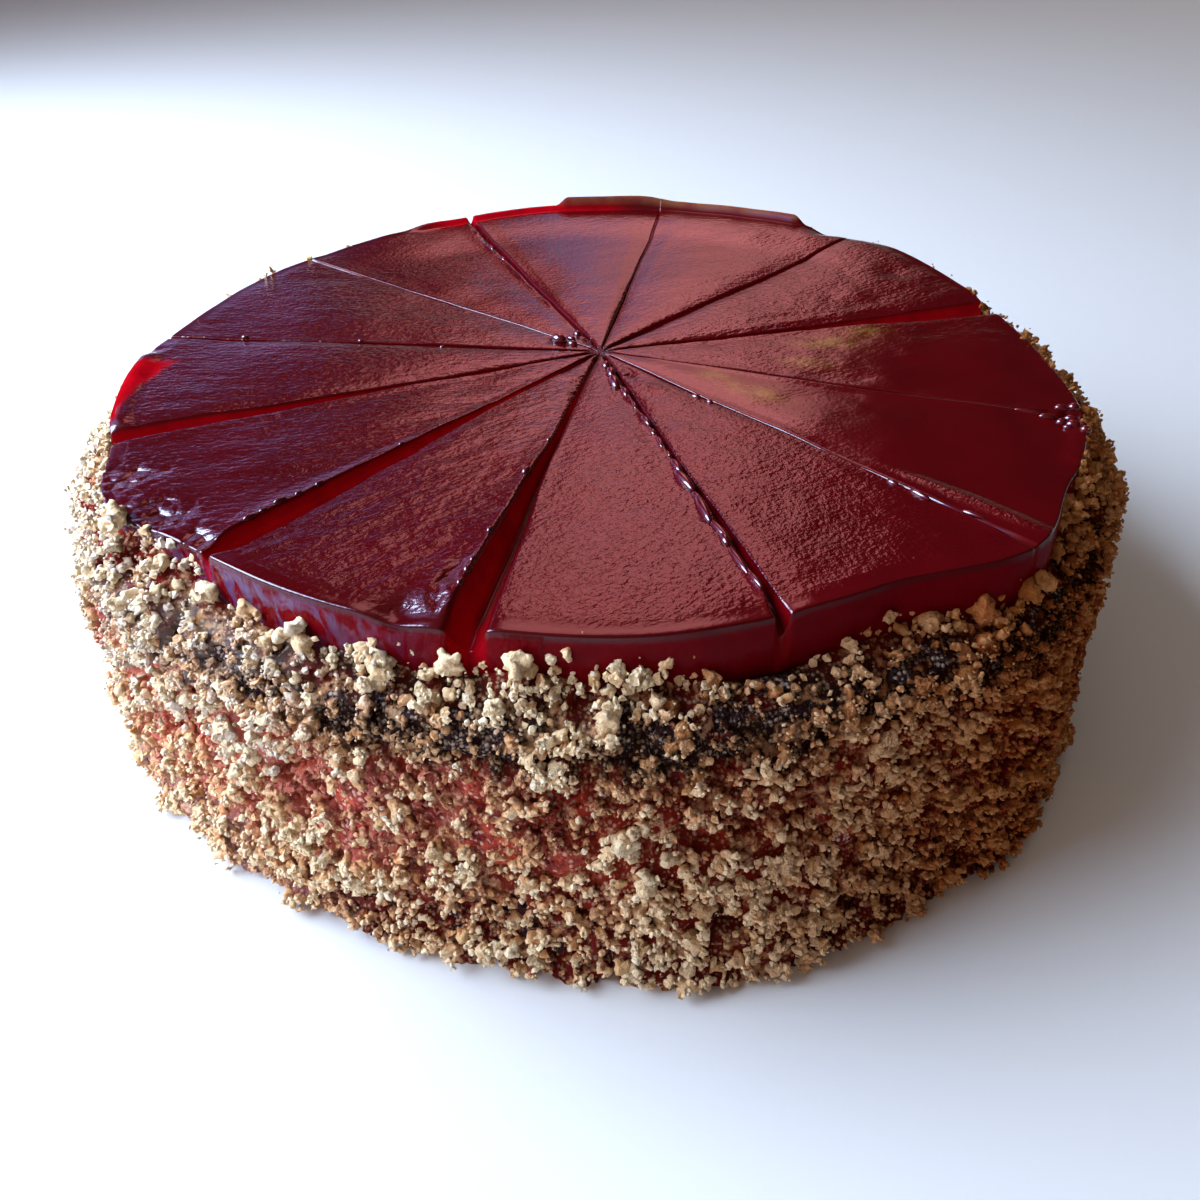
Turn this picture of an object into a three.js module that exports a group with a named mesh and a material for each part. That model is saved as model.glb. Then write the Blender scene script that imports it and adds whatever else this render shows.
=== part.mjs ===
// A round raspberry cheesecake: a slab of raspberry jelly scored for slices, a dark sponge under it,
// a raspberry cheese filling, a dark base, and a coat of crushed biscuit crumbs round the side.
// Millimetres, +Z up. The origin is the middle of the underside, on the surface that the cake stands on.
// Azimuths are in degrees, counter-clockwise seen from above, from +X; -Y is the front.
import * as THREE from "three";
import { mergeVertices } from "three/addons/utils/BufferGeometryUtils.js";

// Driving dimensions
const CAKE_HEIGHT = 76;
const JELLY_THICKNESS = 13;
const SPONGE_THICKNESS = 10;
const BASE_THICKNESS = 18;
const JELLY_RADIUS = 113;
const LAYER_TOP_RADIUS = 117;
const LAYER_BOTTOM_RADIUS = 120;
const COAT_THICKNESS = 8;
const COAT_EDGE_THICKNESS = 4.5;
// How far the middle of the top stands from the middle of the underside
const LEAN = new THREE.Vector2(-2.5, 1);
// Where the cuts meet, from the middle of the top
const HUB = new THREE.Vector2(2.5, -0.5);
const GAP = 0.3;

// The jelly's rim: an all-round radius with bulges and flats, each [azimuth, half width, reach]
const RIM_BULGES = [
  [5, 28, -2.5],
  [47, 26, 5.5],
  [78, 30, 5],
  [100, 14, 2.5],
  [166, 22, -3],
  [216, 14, 5],
  [276, 16, 1.2],
  [311, 15, 6.5],
  [330, 30, 3.5],
];
// Stretches of the rim that stand up, each [first azimuth, last azimuth, ramp, height]
const RIM_LIFTS = [
  [25, 125, 20, 1.2],
  [54, 94, 4, 2.8],
  [180, 198, 3, 1.8],
];
const LIP_WIDTH = 9;
const RIM_ROUNDING = 1;
const LAYER_BULGE_SHARE = 0.6;

// The knife cuts that mark the slices: azimuth, widths at the rim and hub, depth at the rim, and the
// share of the radius from which a cut widens
const CUTS = [
  { azimuth: 13, rimWidth: 8.7, hubWidth: 0.8, depth: 5, flare: 0.35 },
  { azimuth: 45.5, rimWidth: 1.8, hubWidth: 0.8, depth: 2, flare: 0.3 },
  { azimuth: 78, rimWidth: 1.6, hubWidth: 0.8, depth: 2, flare: 0.3 },
  { azimuth: 110.7, rimWidth: 4.2, hubWidth: 1.2, depth: 3, flare: 0.3 },
  { azimuth: 140, rimWidth: 1.4, hubWidth: 0.8, depth: 1.5, flare: 0.3 },
  { azimuth: 173.5, rimWidth: 1.8, hubWidth: 1, depth: 2, flare: 0.3 },
  { azimuth: 202.1, rimWidth: 8.4, hubWidth: 1.2, depth: 5, flare: 0.3 },
  { azimuth: 231.8, rimWidth: 5.4, hubWidth: 2.6, depth: 5.5, flare: 0.2 },
  { azimuth: 259.4, rimWidth: 7.2, hubWidth: 1.6, depth: 11, flare: 0.2 },
  { azimuth: 285.6, rimWidth: 3.2, hubWidth: 2, depth: 7, flare: 0.1 },
  { azimuth: 311.8, rimWidth: 3, hubWidth: 1.2, depth: 2.5, flare: 0.3 },
  { azimuth: 339.7, rimWidth: 8, hubWidth: 0.8, depth: 2.2, flare: 0.84 },
];
const CUT_HUB_DEPTH = 1.2;
const CUT_MOUTH_REACH = 0.95;
const CUT_MOUTH_SPREAD = 0.35;
// How far each slice stands above or below the mean level, in the order of the cuts that start them
const SLICE_LEVELS = [0.4, 0.2, 0.3, -0.2, 0, 0.3, -0.3, 0.2, 0, 0.3, -0.3, -0.2];
const PILLOW = 0.5;
const COLUMNS_IN_SLICE = 8;
const TOP_RINGS = [1, 0.985, 0.95, 0.86, 0.72, 0.56, 0.4, 0.25, 0.12, 0.04];

// The crumb coat: how far its upper edge lies below the jelly's top, each [azimuth, half width, drop]
const COAT_EDGE_DROP = 1;
const COAT_EDGE_DIPS = [
  [75, 60, 3],
  [156, 26, 6],
  [250, 42, 3],
  [284, 18, 9],
  [303, 26, 6],
];
const COAT_SHOULDER = 14;
const COAT_FOOT_BULGES = [
  [280, 28, 5],
  [105, 32, 3.5],
];
const COAT_LUMPS = [
  { lobes: 5, phase: 0.4, size: 0.8 },
  { lobes: 11, phase: 2.1, size: 0.6 },
  { lobes: 19, phase: 4.4, size: 0.4 },
];
const COAT_COLUMNS = 96;
const COAT_LEVELS = [0, 0.07, 0.25, 0.45, 0.65, 0.8, 0.9, 0.97];
const LAYER_COLUMNS = 72;

const JELLY_BOTTOM = CAKE_HEIGHT - JELLY_THICKNESS;
const SPONGE_BOTTOM = JELLY_BOTTOM - SPONGE_THICKNESS;
const WELD = 1e-4;
const { lerp, smoothstep, degToRad, radToDeg } = THREE.MathUtils;

// A smooth hump of height 1 at an azimuth, gone at its half width
function hump(azimuth, centre, halfWidth) {
  const away = Math.abs(((azimuth - centre + 540) % 360) - 180);
  return away >= halfWidth ? 0 : 0.5 + 0.5 * Math.cos((Math.PI * away) / halfWidth);
}

function humps(list, azimuth) {
  return list.reduce((sum, [centre, halfWidth, size]) => sum + size * hump(azimuth, centre, halfWidth), 0);
}

function rimLift(azimuth) {
  const around = ((azimuth % 360) + 360) % 360;
  return RIM_LIFTS.reduce((sum, [first, last, ramp, height]) => {
    const up = smoothstep(around, first - ramp, first);
    const down = 1 - smoothstep(around, last, last + ramp);
    return sum + height * up * down;
  }, 0);
}

function jellyRadius(azimuth) {
  return JELLY_RADIUS + humps(RIM_BULGES, azimuth);
}

function layerRadius(azimuth, height) {
  const plain = lerp(LAYER_BOTTOM_RADIUS, LAYER_TOP_RADIUS, height / JELLY_BOTTOM);
  return plain + LAYER_BULGE_SHARE * humps(RIM_BULGES, azimuth);
}

function coatTop(azimuth) {
  return CAKE_HEIGHT - COAT_EDGE_DROP - humps(COAT_EDGE_DIPS, azimuth);
}

function coatRadius(azimuth, height) {
  const rise = height / CAKE_HEIGHT;
  const inward = smoothstep(height, JELLY_BOTTOM, CAKE_HEIGHT);
  const wall = lerp(layerRadius(azimuth, Math.min(height, JELLY_BOTTOM)), jellyRadius(azimuth), inward);
  const top = coatTop(azimuth);
  const thinning = smoothstep(height, top - COAT_SHOULDER, top);
  const lumps = COAT_LUMPS.reduce(
    (sum, { lobes, phase, size }) => sum + size * Math.sin(lobes * degToRad(azimuth) + phase * (1 + 3 * rise)),
    0,
  );
  const foot = humps(COAT_FOOT_BULGES, azimuth) * (1 - rise) ** 3;
  return wall + lerp(COAT_THICKNESS, COAT_EDGE_THICKNESS, thinning) + lumps + foot;
}

// A point of the cake from its azimuth, radius and height; higher points lean with the body
function point(azimuth, radius, height) {
  const turn = degToRad(azimuth);
  const lean = height / CAKE_HEIGHT;
  return new THREE.Vector3(
    radius * Math.cos(turn) + LEAN.x * lean,
    radius * Math.sin(turn) + LEAN.y * lean,
    height,
  );
}

// A closed body as a lathe's grid of columns and rows, with each grid point put in its own place.
// Rows run from the underside outwards, up the side and back in over the top.
function latheBody(columns, rows, place) {
  const outline = Array.from({ length: rows }, (unused, row) => new THREE.Vector2(1, row));
  const geometry = new THREE.LatheGeometry(outline, columns);
  const positions = geometry.attributes.position;
  for (let vertex = 0; vertex < positions.count; vertex++) {
    const column = Math.floor(vertex / rows) % columns;
    const placed = place(column, vertex % rows);
    positions.setXYZ(vertex, placed.x, placed.y, placed.z);
  }
  geometry.deleteAttribute("normal");
  geometry.deleteAttribute("uv");
  return mergeVertices(geometry, WELD);
}

// A cut widens from the hub to the rim, and spreads once more at its mouth, where the corners are round
function cutWidth(cut, reach) {
  const mouth = 1 + CUT_MOUTH_SPREAD * smoothstep(reach, CUT_MOUTH_REACH, 1);
  return lerp(cut.hubWidth, cut.rimWidth, smoothstep(reach, cut.flare, 1)) * mouth;
}

function cutDepth(cut, reach) {
  return lerp(CUT_HUB_DEPTH, cut.depth, smoothstep(reach, cut.flare / 2, 1));
}

// The azimuth of a slice's column at a radius: column 0 is the bottom of the cut that starts the slice,
// column 1 and the last one are the cuts' edges, and the rest are spread evenly between these
function columnAzimuth(slice, column, reach) {
  const cut = CUTS[slice];
  const next = CUTS[(slice + 1) % CUTS.length];
  const span = (next.azimuth - cut.azimuth + 360) % 360;
  const widest = 0.3 * span;
  const first = Math.min(widest, radToDeg(cutWidth(cut, reach) / 2 / (reach * JELLY_RADIUS)));
  const last = Math.min(widest, radToDeg(cutWidth(next, reach) / 2 / (reach * JELLY_RADIUS)));
  const along = (column - 1) / (COLUMNS_IN_SLICE - 2);
  return cut.azimuth + (column === 0 ? 0 : lerp(first, span - last, along));
}

function topHeight(slice, column, reach, azimuth) {
  const lift = rimLift(azimuth) * smoothstep(reach, 1 - LIP_WIDTH / JELLY_RADIUS, 1);
  if (column === 0) {
    return CAKE_HEIGHT + lift - cutDepth(CUTS[slice], reach);
  }
  const across = (column - 1) / (COLUMNS_IN_SLICE - 2);
  const pillow = PILLOW * Math.sin(Math.PI * across) * Math.sin(Math.PI * reach);
  return CAKE_HEIGHT + lift + SLICE_LEVELS[slice] * smoothstep(reach, 0, 0.3) + pillow;
}

// The jelly slab. Its rows are the underside's middle and rim, the top of the wall, the rings of the
// top from the rim inwards, and the hub.
function jellyGeometry() {
  const rows = TOP_RINGS.length + 4;
  return latheBody(CUTS.length * COLUMNS_IN_SLICE, rows, (gridColumn, row) => {
    const slice = Math.floor(gridColumn / COLUMNS_IN_SLICE);
    const column = gridColumn % COLUMNS_IN_SLICE;
    if (row === 0) {
      return point(0, 0, JELLY_BOTTOM + GAP);
    }
    const isHub = row === rows - 1;
    const reach = row < 3 ? 1 : (TOP_RINGS[row - 3] ?? 0);
    const azimuth = isHub ? 0 : columnAzimuth(slice, column, reach);
    const radius = reach * jellyRadius(azimuth);
    if (row === 1) {
      return point(azimuth, radius, JELLY_BOTTOM + GAP);
    }
    const edgeDrop = [0, 0, 1.6 * RIM_ROUNDING, 0.5 * RIM_ROUNDING][row] ?? 0;
    const level = isHub ? CAKE_HEIGHT - CUT_HUB_DEPTH / 2 : topHeight(slice, column, reach, azimuth);
    const placed = point(azimuth, radius, level - edgeDrop);
    placed.x += HUB.x * (1 - reach);
    placed.y += HUB.y * (1 - reach);
    return placed;
  });
}

// A layer that runs through the whole cake, from one height to another
function layerGeometry(bottom, top) {
  const edgeTuck = -0.4;
  const belly = 0.6;
  const profile = [
    [0, bottom],
    [edgeTuck, bottom],
    [belly, (bottom + top) / 2],
    [edgeTuck, top],
    [0, top],
  ];
  return latheBody(LAYER_COLUMNS, profile.length, (column, row) => {
    const azimuth = (column * 360) / LAYER_COLUMNS;
    const [swell, height] = profile[row];
    const isMiddle = row === 0 || row === profile.length - 1;
    return point(azimuth, isMiddle ? 0 : layerRadius(azimuth, height) + swell, height);
  });
}

// The crumb coat: a ring round the layers and the lower part of the jelly's wall
function coatGeometry() {
  const clear = 4 * GAP;
  const outer = COAT_LEVELS.length;
  const rows = outer + 6;
  return latheBody(COAT_COLUMNS, rows, (column, row) => {
    const azimuth = (column * 360) / COAT_COLUMNS;
    const top = coatTop(azimuth);
    if (row < outer) {
      const height = COAT_LEVELS[row] * top;
      return point(azimuth, coatRadius(azimuth, height), height);
    }
    const wall = jellyRadius(azimuth) + clear;
    const inner = [
      [(coatRadius(azimuth, top) + wall) / 2, top],
      [wall, top - 0.5],
      [wall, JELLY_BOTTOM + GAP],
      [layerRadius(azimuth, JELLY_BOTTOM) + clear, JELLY_BOTTOM + GAP],
      [layerRadius(azimuth, 0) + clear, 0],
      [coatRadius(azimuth, 0), 0],
    ];
    return point(azimuth, ...inner[row - outer]);
  });
}

function named(name, geometry, colour, roughness) {
  const finish = new THREE.MeshStandardMaterial({ color: colour, roughness, metalness: 0 });
  const mesh = new THREE.Mesh(geometry, finish);
  mesh.name = name;
  return mesh;
}

const cake = new THREE.Group();
cake.add(named("dark_base", layerGeometry(0, BASE_THICKNESS), 0x3a1218, 0.8));
cake.add(named("raspberry_filling", layerGeometry(BASE_THICKNESS + GAP, SPONGE_BOTTOM), 0xb03a40, 0.55));
cake.add(named("dark_sponge", layerGeometry(SPONGE_BOTTOM + GAP, JELLY_BOTTOM), 0x24120e, 0.9));
cake.add(named("jelly_top", jellyGeometry(), 0x5a0a10, 0.12));
cake.add(named("crumb_coat", coatGeometry(), 0xc9a878, 0.85));

export default cake;
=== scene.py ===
"""A round raspberry cheesecake: a scored jelly top, a layered body and a coat of crushed biscuit."""

import math
from collections import namedtuple

import bpy
import numpy as np
from bpy.props import FloatProperty, FloatVectorProperty, IntProperty, PointerProperty
from mathutils import Matrix, Vector


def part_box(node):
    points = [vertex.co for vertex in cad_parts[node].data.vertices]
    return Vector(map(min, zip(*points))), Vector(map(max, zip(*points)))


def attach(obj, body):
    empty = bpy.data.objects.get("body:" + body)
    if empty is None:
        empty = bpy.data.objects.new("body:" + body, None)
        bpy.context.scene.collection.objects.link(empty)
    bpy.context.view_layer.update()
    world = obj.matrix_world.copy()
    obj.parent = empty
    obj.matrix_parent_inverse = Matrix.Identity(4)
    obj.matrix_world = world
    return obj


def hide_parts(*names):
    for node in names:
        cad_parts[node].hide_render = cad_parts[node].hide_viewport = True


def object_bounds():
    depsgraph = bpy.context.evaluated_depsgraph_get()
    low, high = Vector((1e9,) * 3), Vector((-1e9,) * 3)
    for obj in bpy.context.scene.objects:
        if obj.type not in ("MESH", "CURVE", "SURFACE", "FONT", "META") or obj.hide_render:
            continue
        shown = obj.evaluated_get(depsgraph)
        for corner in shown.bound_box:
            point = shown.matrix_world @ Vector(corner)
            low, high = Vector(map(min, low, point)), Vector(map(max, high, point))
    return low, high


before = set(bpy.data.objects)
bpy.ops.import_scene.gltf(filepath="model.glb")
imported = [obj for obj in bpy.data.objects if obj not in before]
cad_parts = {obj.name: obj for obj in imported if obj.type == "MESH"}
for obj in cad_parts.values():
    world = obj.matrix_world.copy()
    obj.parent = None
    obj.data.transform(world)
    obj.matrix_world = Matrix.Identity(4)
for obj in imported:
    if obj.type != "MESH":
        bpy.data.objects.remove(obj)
CAD_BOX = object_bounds()

bl_info = {
    "name": "Raspberry Cheesecake",
    "version": (1, 0, 0),
    "blender": (4, 5, 0),
    "location": "3D View > Sidebar > Cheesecake",
    "description": "Models a raspberry cheesecake with a scored jelly top and a coat of biscuit crumbs",
    "category": "Add Mesh",
}

MM = 0.001
BODY = "root"


def box_levels(node):
    """Lowest and highest point of a frame node, in millimetres."""
    low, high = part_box(node)
    return low.z / MM, high.z / MM


# ------------------------------
# Shape of the cake. Lengths are millimetres. Azimuths are degrees, counter-clockwise seen from above,
# from +X, so the front of the cake is at 270.

BASE_LEVELS = box_levels("dark_base")
FILLING_LEVELS = box_levels("raspberry_filling")
SPONGE_LEVELS = box_levels("dark_sponge")
JELLY_BOTTOM = box_levels("jelly_top")[0]
JELLY_THICKNESS = 12.7
CAKE_HEIGHT = JELLY_BOTTOM + JELLY_THICKNESS
JELLY_RADIUS = 113
LAYER_TOP_RADIUS = 117
LAYER_BOTTOM_RADIUS = 120
# How much of the rim's bulges the layers follow, and how far their real side lies outside the plain one
LAYER_BULGE_SHARE = 0.6
LAYER_SWELL = 3.2
# How far the middle of the top stands from the middle of the underside
LEAN = (-2.5, 1.0)
# Where the cuts meet, from the middle of the top
HUB = (2.5, -0.5)

# The rim of the jelly: bulges and flats, each azimuth, half width and reach
RIM_BULGES = (
    (5, 28, -2.5), (47, 26, 5.5), (78, 30, 5), (100, 14, 2.5), (166, 22, -3), (216, 14, 5),
    (276, 16, 1.2), (311, 15, 6.5), (330, 30, 3.5),
)
# The stretch of the rim that stands up as a ridge, and all stretches that are lifted: first azimuth,
# last azimuth, ramp, height, and over how much of the radius they rise
RIDGE = (55.5, 93.5, 2.2, 2.6, 2.4)
RIM_LIFTS = (
    (30, 120, 20, 1.2, 30), (80, 118, 5, 1.3, 3.0), RIDGE, (181, 199, 3, 1.4, 6.0), (330, 336, 2, 0.5, 5.0),
)
# Dents and swellings of the top: azimuth, distance from the axis, size, height
TOP_DENTS = (
    (50, 112, 9, -1.6), (339, 109.5, 5.2, -1.2), (335, 96, 12, 0.5), (253, 110, 9, -1.4),
    (296, 17, 3.5, -0.5), (300, 26, 3.0, 0.4), (150, 13, 3.0, 0.6), (112, 8, 2.5, 0.6),
    (222, 108, 9, -0.6), (60, 96, 12, 0.5), (29, 100, 10, -0.6), (25, 80, 9, 0.4),
)
# Where the top rolls over into the wall: azimuth, half width, drop at the rim
RIM_ROLLS = ((192, 22, 1.6), (255, 6, 1.0), (45, 9, 1.4))
ROLL_WIDTH = 5.0
# Spots of the top, each azimuth, distance from the axis, length, width, strength: the dimpled wet ones,
# those where an olive reflection is painted on the jelly, and the flaky crease at the right
SPARKLES = (
    (213, 108, 13, 12, 0.6), (222, 109, 11, 14, 0.7), (229, 111, 7, 7, 0.8), (256, 101, 14, 3.5, 0.8),
    (339.5, 110, 7, 8, 1.0), (150, 12, 6, 4, 0.8), (118, 7, 4, 3, 0.8), (111, 88, 24, 2.4, 0.8),
    (296, 15, 5, 3, 0.5),
)
OLIVE_REFLECTION_SPOTS = (
    (326, 42, 15, 7, 1.0), (331, 31, 8, 6, 0.8), (3, 60, 16, 8, 0.9), (8, 72, 10, 7, 0.7),
    (350, 52, 12, 6, 0.6),
)
FLAKY_SPOTS = ((314.8, 99, 30, 3.0, 1.0),)
FLAKE_HEIGHT = 0.6
FLAKE_GRAIN = 4

# A knife cut: its azimuth, widths at rim and hub, depth at the rim, the share of the radius from which
# it widens, by what share it widens or narrows at its mouth, how far it drops there, how deep it nicks
# the wall, how high it pushed up the lips of the slices before and after it, from which share of the
# radius, how high those slices rise towards it, and how much light its wall lets through
Cut = namedtuple("Cut", "azimuth rim_width hub_width depth flare mouth spill nick lips lips_from rises glow")
CUTS = (
    Cut(13, 7.5, 0.8, 4, 0.35, 0.1, 0, 0.8, (0.05, 0.1), 0.2, (0.0, 0.0), 0.5),
    Cut(45.5, 1.2, 1.6, 1.8, 0.05, 0, 0, 0.3, (0.05, 0.05), 0.2, (-0.2, -0.2), 0.3),
    Cut(78, 0.8, 0.5, 0.35, 0.3, 0, 0, 0.0, (0.03, 0.03), 0.2, (0.0, 0.0), 0.1),
    Cut(110.7, 2.2, 1.2, 2.2, 0.3, 0, 0, 0.3, (0.1, 0.3), 0.1, (0.0, 0.6), 0.3),
    Cut(140, 0.8, 0.5, 0.5, 0.3, 0, 0, 0.1, (0.03, 0.03), 0.2, (-0.1, -0.1), 0.1),
    Cut(173.5, 1.5, 0.9, 1.5, 0.3, 0, 0, 0.2, (0.15, 0.08), 0.2, (-0.1, -0.1), 0.2),
    Cut(202.1, 5.2, 1.0, 3.0, 0.3, 0, 0, 0.2, (0.14, 0.06), 0.2, (0.2, 0.0), 0.55),
    Cut(231.8, 5.0, 1.9, 3.4, 0.3, -0.6, 0, 0.3, (0.22, 0.08), 0.25, (0.9, 0.0), 0.8),
    Cut(259.4, 6.6, 1.3, 5, 0.42, 0.1, 1.0, 1.2, (0.22, 0.3), 0.3, (2.2, 0.3), 0.75),
    Cut(286.3, 1.9, 1.1, 2.4, 0.5, 0.5, 2.6, 0.5, (0.75, 0.1), 0.06, (0.5, 0.1), 0.3),
    Cut(311.8, 1.4, 0.9, 0.4, 0.3, 0, 0, 0.2, (0.2, 0.12), 0.3, (0.4, -0.5), 0.0),
    Cut(339.7, 5, 0.5, 1.4, 0.86, 0.2, 0, 0.2, (0.04, 0.04), 0.6, (0.0, 0.0), 0.0),
)
# For all cuts: depth at the hub, the shares of the radius from which the mouth widens and drops, how
# round the lips are, and how far a cut wanders sideways
CUT_HUB_DEPTH = 1.2
CUT_MOUTH_REACH = 0.94
CUT_SPILL_REACH = 0.96
CUT_ROUNDING = 0.14
CUT_WOBBLE = 0.16
# The most of a slice's width at any reach that a cut and its shoulder may take
CUT_ROOM = 0.27
SHOULDER_ROOM = 0.18
# A pushed-up lip: how far its crest is from the cut, its half width and the length of its blobs; and how
# far from the cut the rise of a slice reaches
LIP_OFFSET = 0.45
LIP_SPREAD = 0.46
LIP_LENGTH = 5.5
RISE_WIDTH = 5.2

# Beads of jelly that the knife left on the lips: number of the cut, side (-1 for the cut's edge towards
# the slice before it, 1 for the other edge, and between them the bead lies in the cut), and then each
# bead's distance from the hub, length and width
BEADS = (
    (9, -1, (14, 5, 2.2), (19, 7, 2.6), (25, 5, 1.8), (32, 4, 1.0), (51, 5, 1.2), (56, 3, 1.0)),
    (9, -1, (62, 6, 1.7), (68, 9, 2.2), (75, 6, 1.6), (79, 10, 2.1), (87, 8, 1.6), (90, 4, 1.9)),
    (9, -1, (97, 9, 1.5), (104, 5, 1.2)),
    (8, -1, (50, 1.5, 1.2), (65, 3, 2.0), (87, 2, 1.4), (99, 2.5, 1.6), (103, 2, 1.4), (96, 2, 1.2)),
    (7, -1, (64, 1.5, 1.0), (85, 2.2, 1.3), (90, 1.8, 1.2), (94, 3, 1.5), (98, 2, 1.2), (101, 3, 1.4)),
    (5, -1, (93, 2.2, 1.5), (62, 1.5, 1.0)),
    (5, 1, (40, 1.5, 1.0)),
    (3, 1, (12, 3, 2.0), (75, 4, 1.2), (86, 6, 1.3)),
    (4, 1, (12, 4.5, 2.8), (8, 3, 2.0)),
    (4, -1, (10.5, 3, 1.6)),
    (10, -1, (33, 3, 1.6), (37, 2, 1.3), (84, 3, 1.3), (90, 5, 1.4)),
    (10, 1, (100, 5, 1.2)),
    (11, -1, (101, 6, 1.1), (105, 3.6, 1.5), (108, 2.6, 2.0), (110.4, 3.4, 2.4)),
    (11, -1.6, (112.6, 2.4, 1.8)),
    (11, -1.9, (109.2, 2.2, 1.4)),
    (11, 0.2, (106.6, 3.4, 1.5)),
    (11, -0.4, (108.8, 2.6, 1.7)),
    (11, 0.3, (110.6, 3.2, 2.0)),
    (11, -0.3, (112.6, 2.4, 1.6)),
    (11, 1, (108.4, 3.0, 1.7), (111.2, 2.6, 2.2)),
    (9, -1, (9.5, 3.5, 2.2), (41, 5, 1.5), (46, 3, 1.3)),
)
BEAD_HEIGHT = 0.55

# A slice of the top, from one cut to the next: its level, the direction in which the knife smoothed it,
# how strong the smoothing wrinkles and the fine grain are, and the height of its shallow dents
Slice = namedtuple("Slice", "level stroke wrinkle grain dents")
SLICES = (
    Slice(0.4, 30, 1.6, 1.0, 0.05),
    Slice(0.2, 25, 0.9, 1.0, 0.03),
    Slice(0.3, 15, 0.6, 0.8, 0.02),
    Slice(-0.2, 5, 0.8, 0.9, 0.02),
    Slice(0.0, 0, 1.5, 1.0, 0.03),
    Slice(0.3, -4, 1.8, 0.9, 0.04),
    Slice(-0.3, 4, 2.0, 0.8, 0.05),
    Slice(0.2, 33, 3.0, 1.0, 0.06),
    Slice(0.0, 38, 1.3, 1.5, 0.02),
    Slice(0.3, 30, 1.0, 1.9, 0.09),
    Slice(-0.3, 20, 0.5, 0.5, 0.03),
    Slice(-0.2, 25, 1.5, 1.1, 0.05),
)
DENT_SIZE = 3.6
# How high a slice swells between its cuts, its long waves, and the wrinkles along the strokes
PILLOW = 0.5
WAVE_HEIGHT = 0.22
WAVE_SIZE = 24
STROKE_LENGTH = 13
STROKE_WIDTH = 4.2

# How far below the top the crumbs begin, as azimuth and drop
CRUMB_EDGE = (
    (0, 0.5), (20, 0.8), (32, 3), (118, 3), (140, 4), (150, 6), (178, 6), (188, 4.5), (200, 1),
    (219, 0.2), (228, 1.5), (232, 5), (236, 9), (241, 8.2), (247, 6.8), (253, 7.2), (257, 9.2),
    (262, 6), (272, 5), (279, 9), (285, 12.5), (291, 9.5), (308, 9.2), (316, 12), (324, 2.5), (332, 0.5),
)
# The coat: how thick it is, how thick at its upper edge, and over what height it thins to that
COAT_THICKNESS = 8
COAT_EDGE_THICKNESS = 4.5
COAT_SHOULDER = 14
# Where the foot of the coat bulges: azimuth, half width, reach
COAT_FOOT_BULGES = ((280, 28, 5), (105, 32, 3.5))
# Lumps all round the coat: how many, phase in radians, height
COAT_LUMPS = ((5, 0.4, 0.8), (11, 2.1, 0.6), (19, 4.4, 0.4))


def smooth(value, low, high):
    """0 below low, 1 above high, and an S-curve between them."""
    share = np.clip((value - low) / (high - low), 0, 1)
    return share * share * (3 - 2 * share)


def mix(first, second, share):
    return first + (second - first) * share


def turn_from(centre, azimuth):
    """Degrees from one azimuth to another, from -180 to 180."""
    return (azimuth - centre + 540) % 360 - 180


def hump(azimuth, centre, half_width):
    """A smooth hump of height 1 at an azimuth, gone at its half width."""
    away = np.abs(turn_from(centre, azimuth))
    return np.where(away < half_width, 0.5 + 0.5 * np.cos(np.pi * away / half_width), 0)


def humps(bulges, azimuth):
    return sum(reach * hump(azimuth, centre, half_width) for centre, half_width, reach in bulges)


def lift_share(azimuth, stretch):
    """How much of a raised stretch of the rim stands at an azimuth, from 0 to 1."""
    first, last, ramp = stretch[:3]
    around = azimuth % 360
    return smooth(around, first - ramp, first) * (1 - smooth(around, last, last + ramp))


def rim_lift(azimuth, from_rim):
    """How far the top stands up near the rim, by the distance from the rim."""
    total = 0
    for stretch in RIM_LIFTS:
        height, width = stretch[3:]
        total = total + height * lift_share(azimuth, stretch) * (1 - smooth(from_rim, 0.25 * width, width))
    return total


def spot(azimuth, distance, centre_azimuth, centre_distance, length, width):
    """A soft oval spot on the top, its length along the radius; 1 in its middle."""
    across = np.radians(turn_from(centre_azimuth, azimuth)) * centre_distance
    return np.exp(-(((distance - centre_distance) / (0.5 * length)) ** 2) - (across / (0.5 * width)) ** 2)


def strongest(spots, azimuth, distance):
    """The strongest of several spots at each place."""
    found = np.zeros(np.shape(azimuth))
    for *place, strength in spots:
        found = np.maximum(found, strength * spot(azimuth, distance, *place))
    return found


def jelly_radius(azimuth):
    return JELLY_RADIUS + humps(RIM_BULGES, azimuth)


def layer_radius(azimuth, height):
    plain = mix(LAYER_BOTTOM_RADIUS, LAYER_TOP_RADIUS, np.minimum(height / JELLY_BOTTOM, 1))
    return plain + LAYER_BULGE_SHARE * humps(RIM_BULGES, azimuth)


def coat_top(azimuth):
    """The height at which the crumbs end under the rim."""
    azimuths, drops = zip(*CRUMB_EDGE)
    return CAKE_HEIGHT - np.interp(azimuth % 360, azimuths, drops, period=360)


def coat_radius(azimuth, height):
    """The outer surface that the crumbs fill."""
    rise = height / CAKE_HEIGHT
    inward = smooth(height, JELLY_BOTTOM, CAKE_HEIGHT)
    wall = mix(layer_radius(azimuth, height), jelly_radius(azimuth), inward)
    top = coat_top(azimuth)
    thinning = smooth(height, top - COAT_SHOULDER, top)
    lumps = sum(
        size * np.sin(lobes * np.radians(azimuth) + phase * (1 + 3 * rise))
        for lobes, phase, size in COAT_LUMPS
    )
    foot = humps(COAT_FOOT_BULGES, azimuth) * (1 - np.minimum(rise, 1)) ** 3
    return wall + mix(COAT_THICKNESS, COAT_EDGE_THICKNESS, thinning) + lumps + foot


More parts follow.
